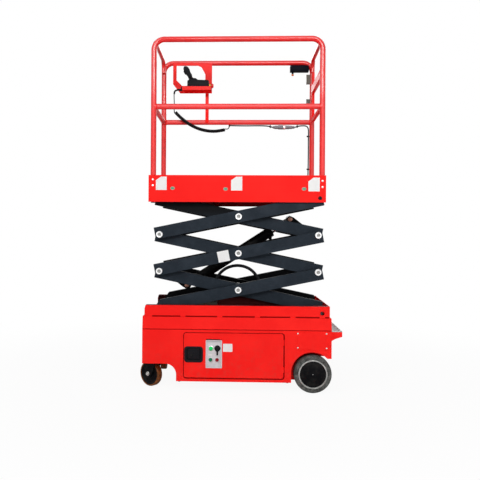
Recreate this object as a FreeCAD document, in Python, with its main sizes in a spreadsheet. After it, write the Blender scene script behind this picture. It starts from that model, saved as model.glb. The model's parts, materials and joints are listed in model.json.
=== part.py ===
import FreeCAD, Part
import math
import os
import re
from types import SimpleNamespace

from FreeCAD import Placement, Rotation, Vector
from Sketcher import Constraint

# Compact self-propelled scissor lift, in millimetres.
# Its parts stand as in the photo: the stack raised a little and the near caster turned.
# X runs along the machine towards the entry step, Y across it, Z up from the floor.

doc = FreeCAD.newDocument("scissor_lift")

# Driving sizes: name, value in millimetres or degrees, what it is
SIZES = [
    ("arm_span", 1100, "pin to pin length of a scissor arm"),
    ("arm_depth", 80, "height of the arm section"),
    ("arm_width", 40, "thickness of the arm section across the machine"),
    ("arm_overhang", 29, "arm length past its end pin"),
    ("pin_offset", 13, "end pin distance from the arm centreline"),
    ("fold_angle", 13.05, "angle of the pin line at rest"),
    ("outer_face", 290, "outer face of the outer arms from the middle plane"),
    ("arm_gap", 6, "space between outer and inner arm"),
    ("pin_dia", 30, "hinge pin diameter"),
    ("pin_play", 1, "bore diameter minus pin diameter"),
    ("arm_trim", 46, "chamfer of the lowest outer arms' front upper corner"),
    ("tie_dia", 50, "cross tube diameter"),
    ("washer_dia", 44, "washer diameter"),
    ("washer_thick", 4, "washer thickness"),
    ("bolt_head", 24, "hinge bolt head diameter"),
    ("bolt_height", 5, "hinge bolt head height"),
    ("roller_dia", 44, "slide roller diameter"),
    ("roller_width", 28, "slide roller width"),
    ("pivot_x", 526, "fixed pivots along the machine"),
    ("pivot_height", 541, "lower fixed pivot above the floor"),
    ("body_front", -645, "front end of the body"),
    ("body_rear", 606, "rear end of the body"),
    ("body_half", 370, "half width over the side panels"),
    ("body_top", 568, "top of the slide channels"),
    ("body_crease", 411, "fold line where the side panel turns in"),
    ("band_top", 490, "top of the sloped band"),
    ("band_lean", 12, "how far the sloped band leans in"),
    ("upper_rear", 595, "rear end of the slide channels"),
    ("channel_front", -633, "front end of the slide channels"),
    ("nose_width", 7, "width of the chamfer at the channels' front end"),
    ("nose_height", 24, "height of the chamfer at the channels' front end"),
    ("sheet_thick", 4, "body plate thickness"),
    ("skirt_low", 66, "lower edge of the side skirts"),
    ("bay_low", 181, "lower edge of the panels over the casters"),
    ("bay_ceiling", 204, "underside of the plate that carries the casters"),
    ("bay_rear", -418, "rear end of the caster bay"),
    ("bay_radius", 72, "corner radius of the caster bay"),
    ("floor_low", 154, "underside of the body between the wheels"),
    ("core_rear", 531, "rear end of the lower body"),
    ("tie_down_bore", 27, "tie-down hole diameter"),
    ("tie_down_x", 545, "tie-down hole along the machine"),
    ("tie_down_z", 523, "tie-down hole above the floor"),
    ("tie_down_plate", 34, "diameter of the plate round the tie-down hole"),
    ("tail_low", 227, "underside of the tail"),
    ("deck_top", 495, "top of the deck under the arms"),
    ("well_half", 56, "half width of the cylinder well"),
    ("well_floor", 402, "floor of the cylinder well"),
    ("well_front", -440, "front end of the cylinder well"),
    ("well_rear", -40, "rear end of the cylinder well"),
    ("arch_radius", 138, "wheel arch radius"),
    ("arch_x", 480, "wheel arch centre"),
    ("arch_z", 130, "wheel arch centre above the floor"),
    ("arch_depth", 88, "depth of the wheel well"),
    ("wheel_dia", 248, "drive tyre diameter"),
    ("wheel_width", 80, "drive tyre width"),
    ("wheel_x", 484, "drive axle along the machine"),
    ("tyre_proud", 10, "how far the drive tyres stand out of the side panels"),
    ("rim_dia", 190, "drive wheel rim diameter"),
    ("hub_dia", 168, "black hub cover diameter"),
    ("motor_dia", 130, "drive motor diameter"),
    ("caster_dia", 172, "caster wheel diameter"),
    ("caster_width", 45, "caster tread width"),
    ("caster_core", 150, "caster wheel core diameter"),
    ("caster_x", -575, "caster kingpin along the machine"),
    ("caster_inset", 120, "caster kingpin from the side panel's face"),
    ("caster_trail", 35, "caster axle behind its kingpin"),
    ("caster_yaw_near", 36, "turn of the near caster"),
    ("caster_yaw_far", 88, "turn of the far caster"),
    ("fork_thick", 6, "caster fork leg thickness"),
    ("door_front", -367, "front edge of the side door"),
    ("door_rear", 291, "rear edge of the side door"),
    ("door_low", 92, "lower edge of the side door"),
    ("door_top", 387, "upper edge of the side door"),
    ("door_gap", 3, "gap round the side door"),
    ("door_depth", 18, "depth of the folded door edge"),
    ("door_corner", 16, "corner radius of the side door"),
    ("door_hinge", 1.5, "door hinge axis from the door's rear edge"),
    ("door_knuckle", 3.5, "radius of the door's hinge knuckles"),
    ("latch_low", 101, "lower edge of the latch over the door's lower edge"),
    ("latch_top", 206, "upper edge of the latch over the door's lower edge"),
    ("latch_front", 2, "front edge of the latch behind the door's front edge"),
    ("latch_rear", 127, "rear edge of the latch behind the door's front edge"),
    ("latch_rim", 8, "width of the latch's rim"),
    ("step_rear", 679, "rear edge of the entry step"),
    ("step_top", 404, "top of the entry step"),
    ("step_half", 345, "half width of the entry step"),
    ("platform_front", -619, "front end of the platform"),
    ("platform_rear", 573, "rear end of the platform"),
    ("platform_half", 305, "half width over the toe boards"),
    ("toe_drop", 76, "lower edge of the toe boards under the platform floor"),
    ("toe_rise", 105, "upper edge of the toe boards over the platform floor"),
    ("toe_thick", 3, "toe board thickness"),
    ("deck_rise", 48, "platform floor top above the upper pivots"),
    ("floor_thick", 3, "platform floor thickness"),
    ("rail_dia", 38, "guard rail tube diameter"),
    ("rail_half", 281, "guard rail centreline from the middle plane"),
    ("rail_front", -590, "front posts along the machine"),
    ("rail_rear", 549, "rear posts along the machine"),
    ("top_rail_up", 1027, "top rail centreline over the platform floor"),
    ("mid_rail_up", 571, "mid rail centreline over the platform floor"),
    ("rail_bend", 72, "bend radius of the rail frames"),
    ("end_rail_dia", 30, "end rail tube diameter"),
    ("end_rail_up", 1031, "end rail centreline over the platform floor"),
    ("end_rail_bend", 60, "bend radius of the end rails"),
    ("end_leg_up", 943, "lower end of the end rails' legs over the platform floor"),
    ("gate_bar", 26, "gate bar width"),
    ("gate_plank", 52, "height of the upper gate bar"),
    ("gate_top_up", 804, "upper gate bar centreline over the platform floor"),
    ("gate_low_up", 575, "lower gate bar centreline over the platform floor"),
    ("low_hinge_up", 676, "lower gate hinge over the platform floor"),
    ("high_hinge_up", 864, "upper gate hinge over the platform floor"),
    ("gate_hinge_tall", 70, "height of a gate hinge"),
    ("gate_hinge", 236, "gate hinge axis from the middle plane"),
    ("ram_along", 359, "cylinder pins from the arm centre, along the pin line"),
    ("ram_off", 72.5, "cylinder pins off the pin line"),
    ("tie_along", 490, "cylinder cross tube from the arm centre"),
    ("barrel_dia", 72, "cylinder barrel diameter"),
    ("barrel_len", 720, "barrel length from its pin"),
    ("rod_dia", 40, "cylinder rod diameter"),
    ("rod_len", 690, "rod length from its eye pin"),
    ("rod_play", 1, "radial space between rod and barrel"),
    ("knuckle_dia", 56, "cylinder knuckle diameter"),
    ("knuckle_half", 22, "half width of the cylinder knuckles"),
    ("lug_inner", 42, "inner face of the cylinder lugs from the middle plane"),
    ("lug_thick", 10, "cylinder lug thickness"),
    ("hose_dia", 20, "hydraulic hose diameter"),
    ("hose_reach", 150, "hose clips from the middle of the lower inner arm"),
    ("hose_plane", 184, "hose from the middle plane"),
    ("slide_end", -190, "rear end of the platform slide channels"),
    ("slide_web", 160, "platform channel web from the middle plane"),
    ("cord_dia", 24, "outer diameter of the curly control cord"),
    ("lead_dia", 9, "diameter of the held cable"),
    ("control_front", -518, "front edge of the control plate"),
    ("control_rear", -218, "rear edge of the control plate"),
    ("control_drop", 237, "lower edge of the control plate under the top rail"),
    ("box_front", -392, "front end of the control box"),
    ("box_rear", -238, "rear end of the control box"),
    ("box_drop", 209, "underside of the control box under the top rail"),
    ("box_middle", 206, "middle of the control box across the machine"),
    ("box_half", 40, "half width of the control box"),
    ("stop_dia", 36, "stop button diameter"),
    ("beacon_front", 380, "front end of the beacon box"),
    ("beacon_rear", 522, "rear end of the beacon box"),
    ("beacon_drop", 71, "underside of the beacon box under the top rail"),
]

sheet = doc.addObject("Spreadsheet::Sheet", "dims")
for row, (alias, number, note) in enumerate(SIZES, start=1):
    sheet.set(f"A{row}", note)
    sheet.set(f"B{row}", str(number))
    sheet.setAlias(f"B{row}", alias)
doc.recompute()
size = SimpleNamespace(**{alias: float(sheet.get(alias)) for alias, number, note in SIZES})
ALIASES = {alias for alias, number, note in SIZES}

# Words for places that follow from the driving sizes
FLOOR = "pivot_height + 3 * arm_span * sin(fold_angle) + deck_rise"
FOLLOWING = {
    "upper_half": "(body_half - band_lean)",
    "wheel_face": "(body_half + tyre_proud)",
    "caster_y": "(body_half - caster_inset)",
    "toe_low": f"({FLOOR} - toe_drop)",
    "toe_top": f"({FLOOR} + toe_rise)",
    "rail_top": f"({FLOOR} + top_rail_up)",
    "rail_mid": f"({FLOOR} + mid_rail_up)",
    "gate_top": f"({FLOOR} + gate_top_up)",
    "gate_low": f"({FLOOR} + gate_low_up)",
    "low_hinge": f"({FLOOR} + low_hinge_up)",
    "high_hinge": f"({FLOOR} + high_hinge_up)",
}
WORD = r"[a-z_][a-z_0-9]*"


def bind(obj, prop, text):
    """Bind a property to a formula written with the sheet's names and those of FOLLOWING."""
    words = re.sub(WORD, lambda m: FOLLOWING.get(m[0], m[0]), str(text))
    words = re.sub(WORD, lambda m: f"dims.{m[0]}" if m[0] in ALIASES else m[0], words)
    obj.setExpression(prop, words)


def place(obj, x=0, y=0, z=0):
    for axis, text in zip("xyz", (x, y, z)):
        bind(obj, f"Placement.Base.{axis}", text)
    return obj


def box(name, x0, x1, y0, y1, z0, z1):
    obj = doc.addObject("Part::Box", name)
    bind(obj, "Length", f"({x1}) - ({x0})")
    bind(obj, "Width", f"({y1}) - ({y0})")
    bind(obj, "Height", f"({z1}) - ({z0})")
    return place(obj, x0, y0, z0)


def rounded(name, x0, x1, y0, y1, z0, z1, radius):
    """A box whose four edges along Y are rounded."""
    pieces = [box(f"{name}_wide", x0, x1, y0, y1, f"{z0} + ({radius})", f"{z1} - ({radius})"),
              box(f"{name}_tall", f"{x0} + ({radius})", f"{x1} - ({radius})", y0, y1, z0, z1)]
    for i, (x, z) in enumerate(((f"{x0} + ({radius})", f"{z0} + ({radius})"),
                                (f"{x1} - ({radius})", f"{z0} + ({radius})"),
                                (f"{x0} + ({radius})", f"{z1} - ({radius})"),
                                (f"{x1} - ({radius})", f"{z1} - ({radius})"))):
        pieces.append(round_y(f"{name}_corner_{i}", x, y0, y1, z, radius))
    return fuse(name, pieces)


def round_y(name, x, y0, y1, z, radius):
    """A cylinder along Y from y0 to y1."""
    obj = doc.addObject("Part::Cylinder", name)
    bind(obj, "Radius", radius)
    bind(obj, "Height", f"({y1}) - ({y0})")
    obj.Placement = Placement(Vector(), Rotation(Vector(1, 0, 0), -90))
    return place(obj, x, y0, z)


def round_x(name, x0, x1, y, z, radius):
    """A cylinder along X from x0 to x1."""
    obj = doc.addObject("Part::Cylinder", name)
    bind(obj, "Radius", radius)
    bind(obj, "Height", f"({x1}) - ({x0})")
    obj.Placement = Placement(Vector(), Rotation(Vector(0, 1, 0), 90))
    return place(obj, x0, y, z)


def round_z(name, x, y, z0, z1, radius):
    """An upright cylinder from z0 to z1."""
    obj = doc.addObject("Part::Cylinder", name)
    bind(obj, "Radius", radius)
    bind(obj, "Height", f"({z1}) - ({z0})")
    return place(obj, x, y, z0)


def fuse(name, pieces):
    obj = doc.addObject("Part::MultiFuse", name)
    obj.Shapes = pieces
    return obj


def cut(name, base, tools):
    obj = doc.addObject("Part::Cut", name)
    obj.Base = base
    obj.Tool = tools[0] if len(tools) == 1 else fuse(f"{name}_tools", tools)
    return obj


def common(name, pieces):
    obj = doc.addObject("Part::MultiCommon", name)
    obj.Shapes = pieces
    return obj


def group(name, pieces):
    """Pieces that stay apart, kept in one sub-part."""
    obj = doc.addObject("Part::Compound", name)
    obj.Links = pieces
    return obj


def mirror(name, source):
    """A copy on the other side of the middle plane."""
    obj = doc.addObject("Part::Mirroring", name)
    obj.Source = source
    obj.Normal = Vector(0, 1, 0)
    return obj


def both(name, source):
    return group(name, [source, mirror(f"{name}_far", source)])


def plate(name, corners, low, high, plane="XZ_Plane"):
    """A pad of a sketched outline; corners are pairs of formulas.

    On XZ_Plane the outline is (x, z) and low and high are along Y.
    On YZ_Plane the outline is (y, z) and low and high are along X.
    """
    body = doc.addObject("PartDesign::Body", name)
    sketch = body.newObject("Sketcher::SketchObject", f"{name}_outline")
    origin = [f for f in body.Origin.OriginFeatures if f.Role == plane][0]
    sketch.AttachmentSupport = [(origin, "")]
    sketch.MapMode = "FlatFace"
    count = len(corners)
    ring = [Vector(10 * math.cos(2 * math.pi * i / count), 10 * math.sin(2 * math.pi * i / count), 0)
            for i in range(count)]
    for i in range(count):
        sketch.addGeometry(Part.LineSegment(ring[i], ring[(i + 1) % count]), False)
    for i in range(count):
        sketch.addConstraint(Constraint("Coincident", i, 2, (i + 1) % count, 1))
    for i, (u, v) in enumerate(corners):
        across = sketch.addConstraint(Constraint("DistanceX", -1, 1, i, 1, 10.0))
        bind(sketch, f"Constraints[{across}]", u)
        upward = sketch.addConstraint(Constraint("DistanceY", -1, 1, i, 1, 10.0))
        bind(sketch, f"Constraints[{upward}]", v)
    pad = body.newObject("PartDesign::Pad", f"{name}_pad")
    pad.Profile = sketch
    bind(pad, "Length", f"({high}) - ({low})")
    if plane == "XZ_Plane":
        pad.Reversed = True
        place(body, 0, low, 0)
    else:
        place(body, low, 0, 0)
    return body


def bent_tube(name, points, radius, dia):
    """A round bar along straight runs joined by bends of one radius."""
    route = [Vector(*p) for p in points]
    edges = []
    last = route[0]
    for before, corner, after in zip(route, route[1:], route[2:]):
        inward = (before - corner).normalize()
        outward = (after - corner).normalize()
        turn = math.pi - inward.getAngle(outward)
        reach = radius * math.tan(turn / 2)
        start = corner + inward * reach
        end = corner + outward * reach
        middle = corner + (inward + outward).normalize() * (radius / math.cos(turn / 2) - radius)
        edges.append(Part.LineSegment(last, start).toShape())
        edges.append(Part.Arc(start, middle, end).toShape())
        last = end
    edges.append(Part.LineSegment(last, route[-1]).toShape())
    path = Part.Wire(edges)
    ring = Part.Wire([Part.Circle(route[0], route[1] - route[0], dia / 2).toShape()])
    obj = doc.addObject("Part::Feature", name)
    obj.Shape = path.makePipeShell([ring], True, True)
    return obj


def cord_tube(name, points, dia):
    """A soft cord: straight runs joined by the largest tangent arcs that fit."""
    route = [Vector(*p) for p in points]
    edges = []
    last = route[0]
    for before, corner, after in zip(route, route[1:], route[2:]):
        inward = before - corner
        outward = after - corner
        run = min(inward.Length, outward.Length)
        inward.normalize()
        outward.normalize()
        turn = math.pi - inward.getAngle(outward)
        radius = 0.45 * run / math.tan(turn / 2)
        start = corner + inward * 0.45 * run
        end = corner + outward * 0.45 * run
        middle = corner + (inward + outward).normalize() * (radius / math.cos(turn / 2) - radius)
        edges.append(Part.LineSegment(last, start).toShape())
        edges.append(Part.Arc(start, middle, end).toShape())
        last = end
    edges.append(Part.LineSegment(last, route[-1]).toShape())
    path = Part.Wire(edges)
    ring = Part.Wire([Part.Circle(route[0], route[1] - route[0], dia / 2).toShape()])
    obj = doc.addObject("Part::Feature", name)
    obj.Shape = path.makePipeShell([ring], True, True)
    return obj


PARTS = {}


def keep(name, obj):
    obj.Label = name
    PARTS[name] = obj
    return obj


# Places worked out from the driving sizes, as formulas
RISE = "arm_span * sin(fold_angle)"
MIDDLE_X = "pivot_x - arm_span / 2 * cos(fold_angle)"
TOP_PIVOT = f"(pivot_height + 3 * {RISE})"
INNER_FACE = "(outer_face - arm_width - arm_gap)"
INNER_BACK = "(outer_face - 2 * arm_width - arm_gap)"
BORE = "(pin_dia + pin_play) / 2"
TILT = "(asin(2 * pin_offset / arm_span) / 1 deg)"
DECK_LOW = "(deck_top - sheet_thick)"
HALF_IN = "(body_half - sheet_thick)"

# The same places as numbers, for the swept tubes and the cylinder
fold = math.radians(size.fold_angle)
rise = size.arm_span * math.sin(fold)
middle_x = size.pivot_x - size.arm_span / 2 * math.cos(fold)
top_pivot = size.pivot_height + 3 * rise
platform_floor = top_pivot + size.deck_rise
rail_top = platform_floor + size.top_rail_up
rail_mid = platform_floor + size.mid_rail_up


def make_body():
    side = plate("body_side", [
        ("body_front", "bay_low"), ("bay_rear", "bay_low"), ("bay_rear", "skirt_low"),
        ("core_rear", "skirt_low"), ("core_rear", "tail_low"), ("body_rear", "tail_low"),
        ("body_rear", "band_top"), ("upper_rear", "band_top"), ("upper_rear", "body_top"),
        ("channel_front + nose_width", "body_top"), ("channel_front", "body_top - nose_height"),
        ("channel_front", "deck_top"), ("body_front", "deck_top"),
    ], "-body_half", "body_half")
    end = plate("body_end", [
        ("-body_half", "skirt_low"), ("body_half", "skirt_low"), ("body_half", "body_crease"),
        ("upper_half", "band_top"), ("upper_half", "body_top"), ("-upper_half", "body_top"),
        ("-upper_half", "band_top"), ("-body_half", "body_crease"),
    ], "body_front", "body_rear", "YZ_Plane")
    block = common("body_block", [side, end])
    upper_in = "(upper_half - sheet_thick)"
    tools = [
        # hollow above the caster bay, between the wheels and in the tail
        box("hollow_front", "body_front + sheet_thick", "bay_rear + sheet_thick", f"-{HALF_IN}", HALF_IN,
            "bay_ceiling + sheet_thick", "body_crease"),
        box("hollow_main", "bay_rear + sheet_thick", "core_rear - sheet_thick", f"-{HALF_IN}", HALF_IN,
            "floor_low + sheet_thick", "body_crease"),
        box("hollow_tail", "core_rear - 2 * sheet_thick", "body_rear - sheet_thick", f"-{HALF_IN}", HALF_IN,
            "tail_low + sheet_thick", "body_crease"),
        box("hollow_band", "body_front + sheet_thick", "upper_rear - sheet_thick", f"-{upper_in}", upper_in,
            "body_crease - 1", DECK_LOW),
        # the caster bay and the space between the skirts
        box("bay_space", "body_front + sheet_thick", "bay_rear - bay_radius", f"-{HALF_IN}", HALF_IN,
            "bay_low - 1", "bay_ceiling"),
        box("skirt_space", "bay_rear - 1", "core_rear + 1", f"-{HALF_IN}", HALF_IN, "skirt_low - 1",
            "floor_low"),
        # the arm well on top
        box("arm_well", "body_front - 1", "upper_rear - sheet_thick", "-(outer_face + 22)", "outer_face + 22",
            "deck_top", "body_top + 1"),
        box("channel_near", "channel_front + nose_width + sheet_thick", "upper_rear - 2 * sheet_thick",
            f"-{upper_in}", "-outer_face", "deck_top", "body_top - sheet_thick"),
        box("channel_far", "channel_front + nose_width + sheet_thick", "upper_rear - 2 * sheet_thick",
            "outer_face", upper_in, "deck_top", "body_top - sheet_thick"),
    ]
    arches = []
    for word, low, high in (("near", "-body_half - 1", "-body_half + arch_depth"),
                            ("far", "body_half - arch_depth", "body_half + 1")):
        arches.append(round_y(f"arch_{word}", "arch_x", low, high, "arch_z", "arch_radius"))
        arches.append(box(f"arch_leg_{word}", "arch_x - arch_radius", "body_rear + 10", low, high,
                          "skirt_low - 1", "arch_z"))
    tools += arches
    shell = cut("body_hollow", block, tools)
    lugs = []
    # the panels curve down from the caster bay to the skirts
    for word, y0 in (("near", "-body_half"), ("far", "body_half - sheet_thick")):
        square = box(f"bay_square_{word}", "bay_rear - bay_radius", "bay_rear + 1", y0, f"{y0} + sheet_thick",
                     "bay_low - bay_radius", "bay_low + 1")
        lugs.append(cut(f"bay_corner_{word}", square, [
            round_y(f"bay_round_{word}", "bay_rear - bay_radius", f"{y0} - 1", f"{y0} + sheet_thick + 1",
                    "bay_low - bay_radius", "bay_radius")]))
    for word, y0, y1 in (("near", "-(outer_face + 16)", "-(outer_face + 8)"),
                         ("far", "outer_face + 8", "outer_face + 16")):
        lugs.append(plate(f"pivot_lug_{word}", [
            ("pivot_x - 45", "deck_top - 1"), ("upper_rear - sheet_thick", "deck_top - 1"),
            ("upper_rear - sheet_thick", "pivot_height + 12"), ("pivot_x + 28", "pivot_height + 33"),
            ("pivot_x - 28", "pivot_height + 33"), ("pivot_x - 45", "pivot_height + 12"),
        ], y0, y1))
    for word, y0, y1 in (("near", "-(outer_face + 9)", "-(outer_face - arm_width - 1)"),
                         ("far", "outer_face - arm_width - 1", "outer_face + 9")):
        lugs.append(round_y(f"pivot_boss_{word}", "pivot_x", y0, y1, "pivot_height", "tie_dia / 2"))
    # the well for the lowered cylinder hangs under the deck
    tub = box("well_tub", "well_front - sheet_thick", "well_rear + sheet_thick", "-(well_half + sheet_thick)",
              "well_half + sheet_thick", "well_floor - sheet_thick", "deck_top")
    wells = []
    for word, y0, y1 in (("near", "-body_half", "-body_half + arch_depth + sheet_thick"),
                         ("far", "body_half - arch_depth - sheet_thick", "body_half")):
        outer = round_y(f"arch_tub_{word}", "arch_x", y0, y1, "arch_z", "arch_radius + sheet_thick")
        leg = box(f"arch_liner_{word}", "arch_x - arch_radius - sheet_thick", "arch_x", y0, y1, "skirt_low",
                  "arch_z")
        wells.append(common(f"arch_wall_{word}", [fuse(f"arch_shape_{word}", [outer, leg]), block]))
    whole = fuse("body_whole", [shell, tub] + lugs + wells)
    holes = [
        box("well_space", "well_front", "well_rear", "-well_half", "well_half", "well_floor", "deck_top + 1"),
        round_y("pivot_bore", "pivot_x", "-(outer_face + 21)", "outer_face + 21", "pivot_height",
                "pin_dia / 2"),
        round_y("tie_down_seat", "tie_down_x", "-body_half", "body_half", "tie_down_z", "tie_down_plate / 2"),
    ]
    for word, y0, y1 in (("near", "-body_half - 1", "-body_half + door_depth + 4"),
                         ("far", "body_half - door_depth - 4", "body_half + 1")):
        holes.append(rounded(f"door_hole_{word}", "door_front - door_gap", "door_rear + door_gap", y0, y1,
                             "door_low - door_gap", "door_top + door_gap", "door_corner + door_gap"))
        w0 = "-body_half - 2" if word == "near" else "body_half - arch_depth"
        w1 = "-body_half + arch_depth" if word == "near" else "body_half + 2"
        holes.append(round_y(f"arch_clear_{word}", "arch_x", w0, w1, "arch_z", "arch_radius"))
        holes.append(box(f"arch_leg_clear_{word}", "arch_x - arch_radius", "body_rear + 10", w0, w1,
                         "skirt_low - 1", "arch_z"))
        m0 = "-body_half + arch_depth - 1" if word == "near" else "147"
        m1 = "-147" if word == "near" else "body_half - arch_depth + 1"
        holes.append(round_y(f"motor_clear_{word}", "wheel_x", m0, m1, "wheel_dia / 2", "motor_dia / 2 + 3"))
        hinge_y = "-body_half - 1" if word == "near" else "body_half + 1"
        holes.append(round_z(f"hinge_clear_{word}", "door_rear + door_hinge", hinge_y, "door_low", "door_top",
                             "door_knuckle + 1"))
    part_body(cut("chassis_cut", whole, holes))


def part_body(shell):
    """Part the finished body where its real panels meet."""
    inner = "(upper_half - sheet_thick)"
    well = "(outer_face + 22)"
    low, high = "skirt_low - 1", "body_top + 1"
    x0, x1, x2 = "body_front - 1", "upper_rear - 2 * sheet_thick", "body_rear + 1"
    side = box("side_zone", x0, x2, "-body_half - 1", f"-{inner}", low, DECK_LOW)
    keep("chassis_sides", both("chassis_side_pair", common("chassis_side", [shell, side])))
    channel = box("channel_zone", x0, x1, "-body_half - 1", f"-{well}", DECK_LOW, high)
    keep("slide_channels", both("slide_channel_pair", common("slide_channel", [shell, channel])))
    deck = fuse("deck_zone", [box("deck_zone_middle", x0, x2, f"-{well}", well, DECK_LOW, high),
                              box("deck_zone_rear", x1, x2, "-body_half - 1", "body_half + 1", DECK_LOW,
                                  high)])
    keep("arm_deck", common("arm_deck_part", [shell, deck]))
    tub = box("tub_zone", "well_front - sheet_thick", "well_rear + sheet_thick", "-(well_half + sheet_thick)",
              "well_half + sheet_thick", "well_floor - sheet_thick", DECK_LOW)
    keep("ram_well", common("ram_well_part", [shell, tub]))
    arches = []
    wells = []
    for word, y0, y1 in (("near", f"-{inner}", "-body_half + arch_depth + sheet_thick"),
                         ("far", "body_half - arch_depth - sheet_thick", inner)):
        ring = round_y(f"arch_zone_ring_{word}", "arch_x", y0, y1, "arch_z", "arch_radius + sheet_thick")
        leg = box(f"arch_zone_leg_{word}", "arch_x - arch_radius - sheet_thick", "arch_x", y0, y1, low,
                  "arch_z")
        arches.append(fuse(f"arch_zone_{word}", [ring, leg]))
        wells.append(common(f"wheel_well_{word}", [shell, arches[-1]]))
    keep("wheel_wells", group("wheel_well_pair", wells))
    middle = box("middle_zone", x0, x2, f"-{inner}", inner, low, DECK_LOW)
    core = cut("body_core", common("body_middle", [shell, middle]), [tub] + arches)
    bounds = ["body_front - 1", "bay_rear + sheet_thick", "core_rear - sheet_thick", "body_rear + 1"]
    zones = [box(f"core_zone_{i}", bounds[i], bounds[i + 1], f"-{inner}", inner, low,
                 DECK_LOW) for i in range(3)]
    front, floor, tail = [common(f"core_part_{i}", [core, zone]) for i, zone in enumerate(zones)]
    keep("chassis_ends", group("chassis_end_pair", [front, tail]))
    keep("chassis_floor", floor)


def make_body_fittings():
    step = []
    for word, y0 in (("near", "-step_half"), ("far", "step_half - sheet_thick")):
        step.append(plate(f"step_cheek_{word}", [
            ("body_rear", "step_top - 66"), ("step_rear - 44", "step_top - 50"),
            ("step_rear", "step_top - 36"), ("step_rear", "step_top - sheet_thick"),
            ("body_rear", "step_top - sheet_thick"),
        ], y0, f"{y0} + sheet_thick"))
    step.append(box("step_lip", "step_rear - sheet_thick", "step_rear", "-step_half", "step_half",
                    "step_top - 36", "step_top - sheet_thick"))
    step.append(box("step_rail", "body_rear", "body_rear + sheet_thick", "-step_half", "step_half",
                    "step_top - 40", "step_top - sheet_thick"))
    keep("entry_step", fuse("entry_step_whole", step))
    keep("entry_tread", box("entry_tread_plate", "body_rear", "step_rear", "-step_half", "step_half",
                            "step_top - sheet_thick", "step_top"))
    cover = box("service_cover_near", "arch_x - 100", "arch_x + 95", "-body_half - 3", "-body_half",
                "step_top - 120", "step_top - 7")
    keep("service_covers", both("service_covers_pair", cover))
    keep("battery_pack", box("battery_block", "door_front + 30", "door_front + 290", "-170", "170",
                             "floor_low + sheet_thick", "floor_low + 215"))
    pump = fuse("pump_block", [
        box("pump_tank", "door_rear - 250", "door_rear - 40", "-160", "20", "floor_low + sheet_thick",
            "floor_low + 150"),
        round_x("pump_motor", "door_rear - 250", "door_rear - 60", "80", "floor_low + 70", "55"),
        box("pump_foot", "door_rear - 240", "door_rear - 70", "15", "90", "floor_low + sheet_thick",
            "floor_low + 60"),
    ])
    keep("pump_unit", pump)
    motor = round_y("drive_motor_near", "wheel_x", "-(wheel_face - 50)", "-150", "wheel_dia / 2",
                    "motor_dia / 2")
    spindle = round_y("drive_spindle_near", "wheel_x", "-(wheel_face - 28)", "-(wheel_face - 51)",
                      "wheel_dia / 2", "17")
    seat = box("drive_seat_near", "wheel_x - 80", "wheel_x + 45", "-275", "-160", "wheel_dia / 2",
               "floor_low")
    keep("drive_motors", both("drive_motor_pair", fuse("drive_motor_seated", [motor, spindle, seat])))
    track = box("slide_track_near", "channel_front + nose_width + 13", "-170", "-(upper_half - sheet_thick)",
                "-(outer_face + 22)", "deck_top", "pivot_height - roller_dia / 2 - 0.4")
    keep("slide_tracks", both("slide_track_pair", track))
    pin = round_y("pivot_pin_near", "pivot_x", "-(outer_face + 20)", f"-({INNER_BACK} - 2)", "pivot_height",
                  "pin_dia / 2")
    plates = round_y("tie_down_disc", "tie_down_x", "-upper_half", "-(upper_half - sheet_thick)",
                     "tie_down_z",
                     "tie_down_plate / 2")
    bored = cut("tie_down_ring", plates, [round_y("tie_down_hole", "tie_down_x", "-upper_half - 1",
                                                  "-(upper_half - sheet_thick - 1)", "tie_down_z",
                                                  "tie_down_bore / 2")])
    keep("tie_down_rings", both("tie_down_pair", bored))
    washer = round_y("pivot_washer_near", "pivot_x", "-(outer_face + 20)", "-(outer_face + 16)",
                     "pivot_height", "washer_dia / 2")
    keep("pivot_pins", both("pivot_pin_pair", fuse("pivot_pin_headed", [pin, washer])))


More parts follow.
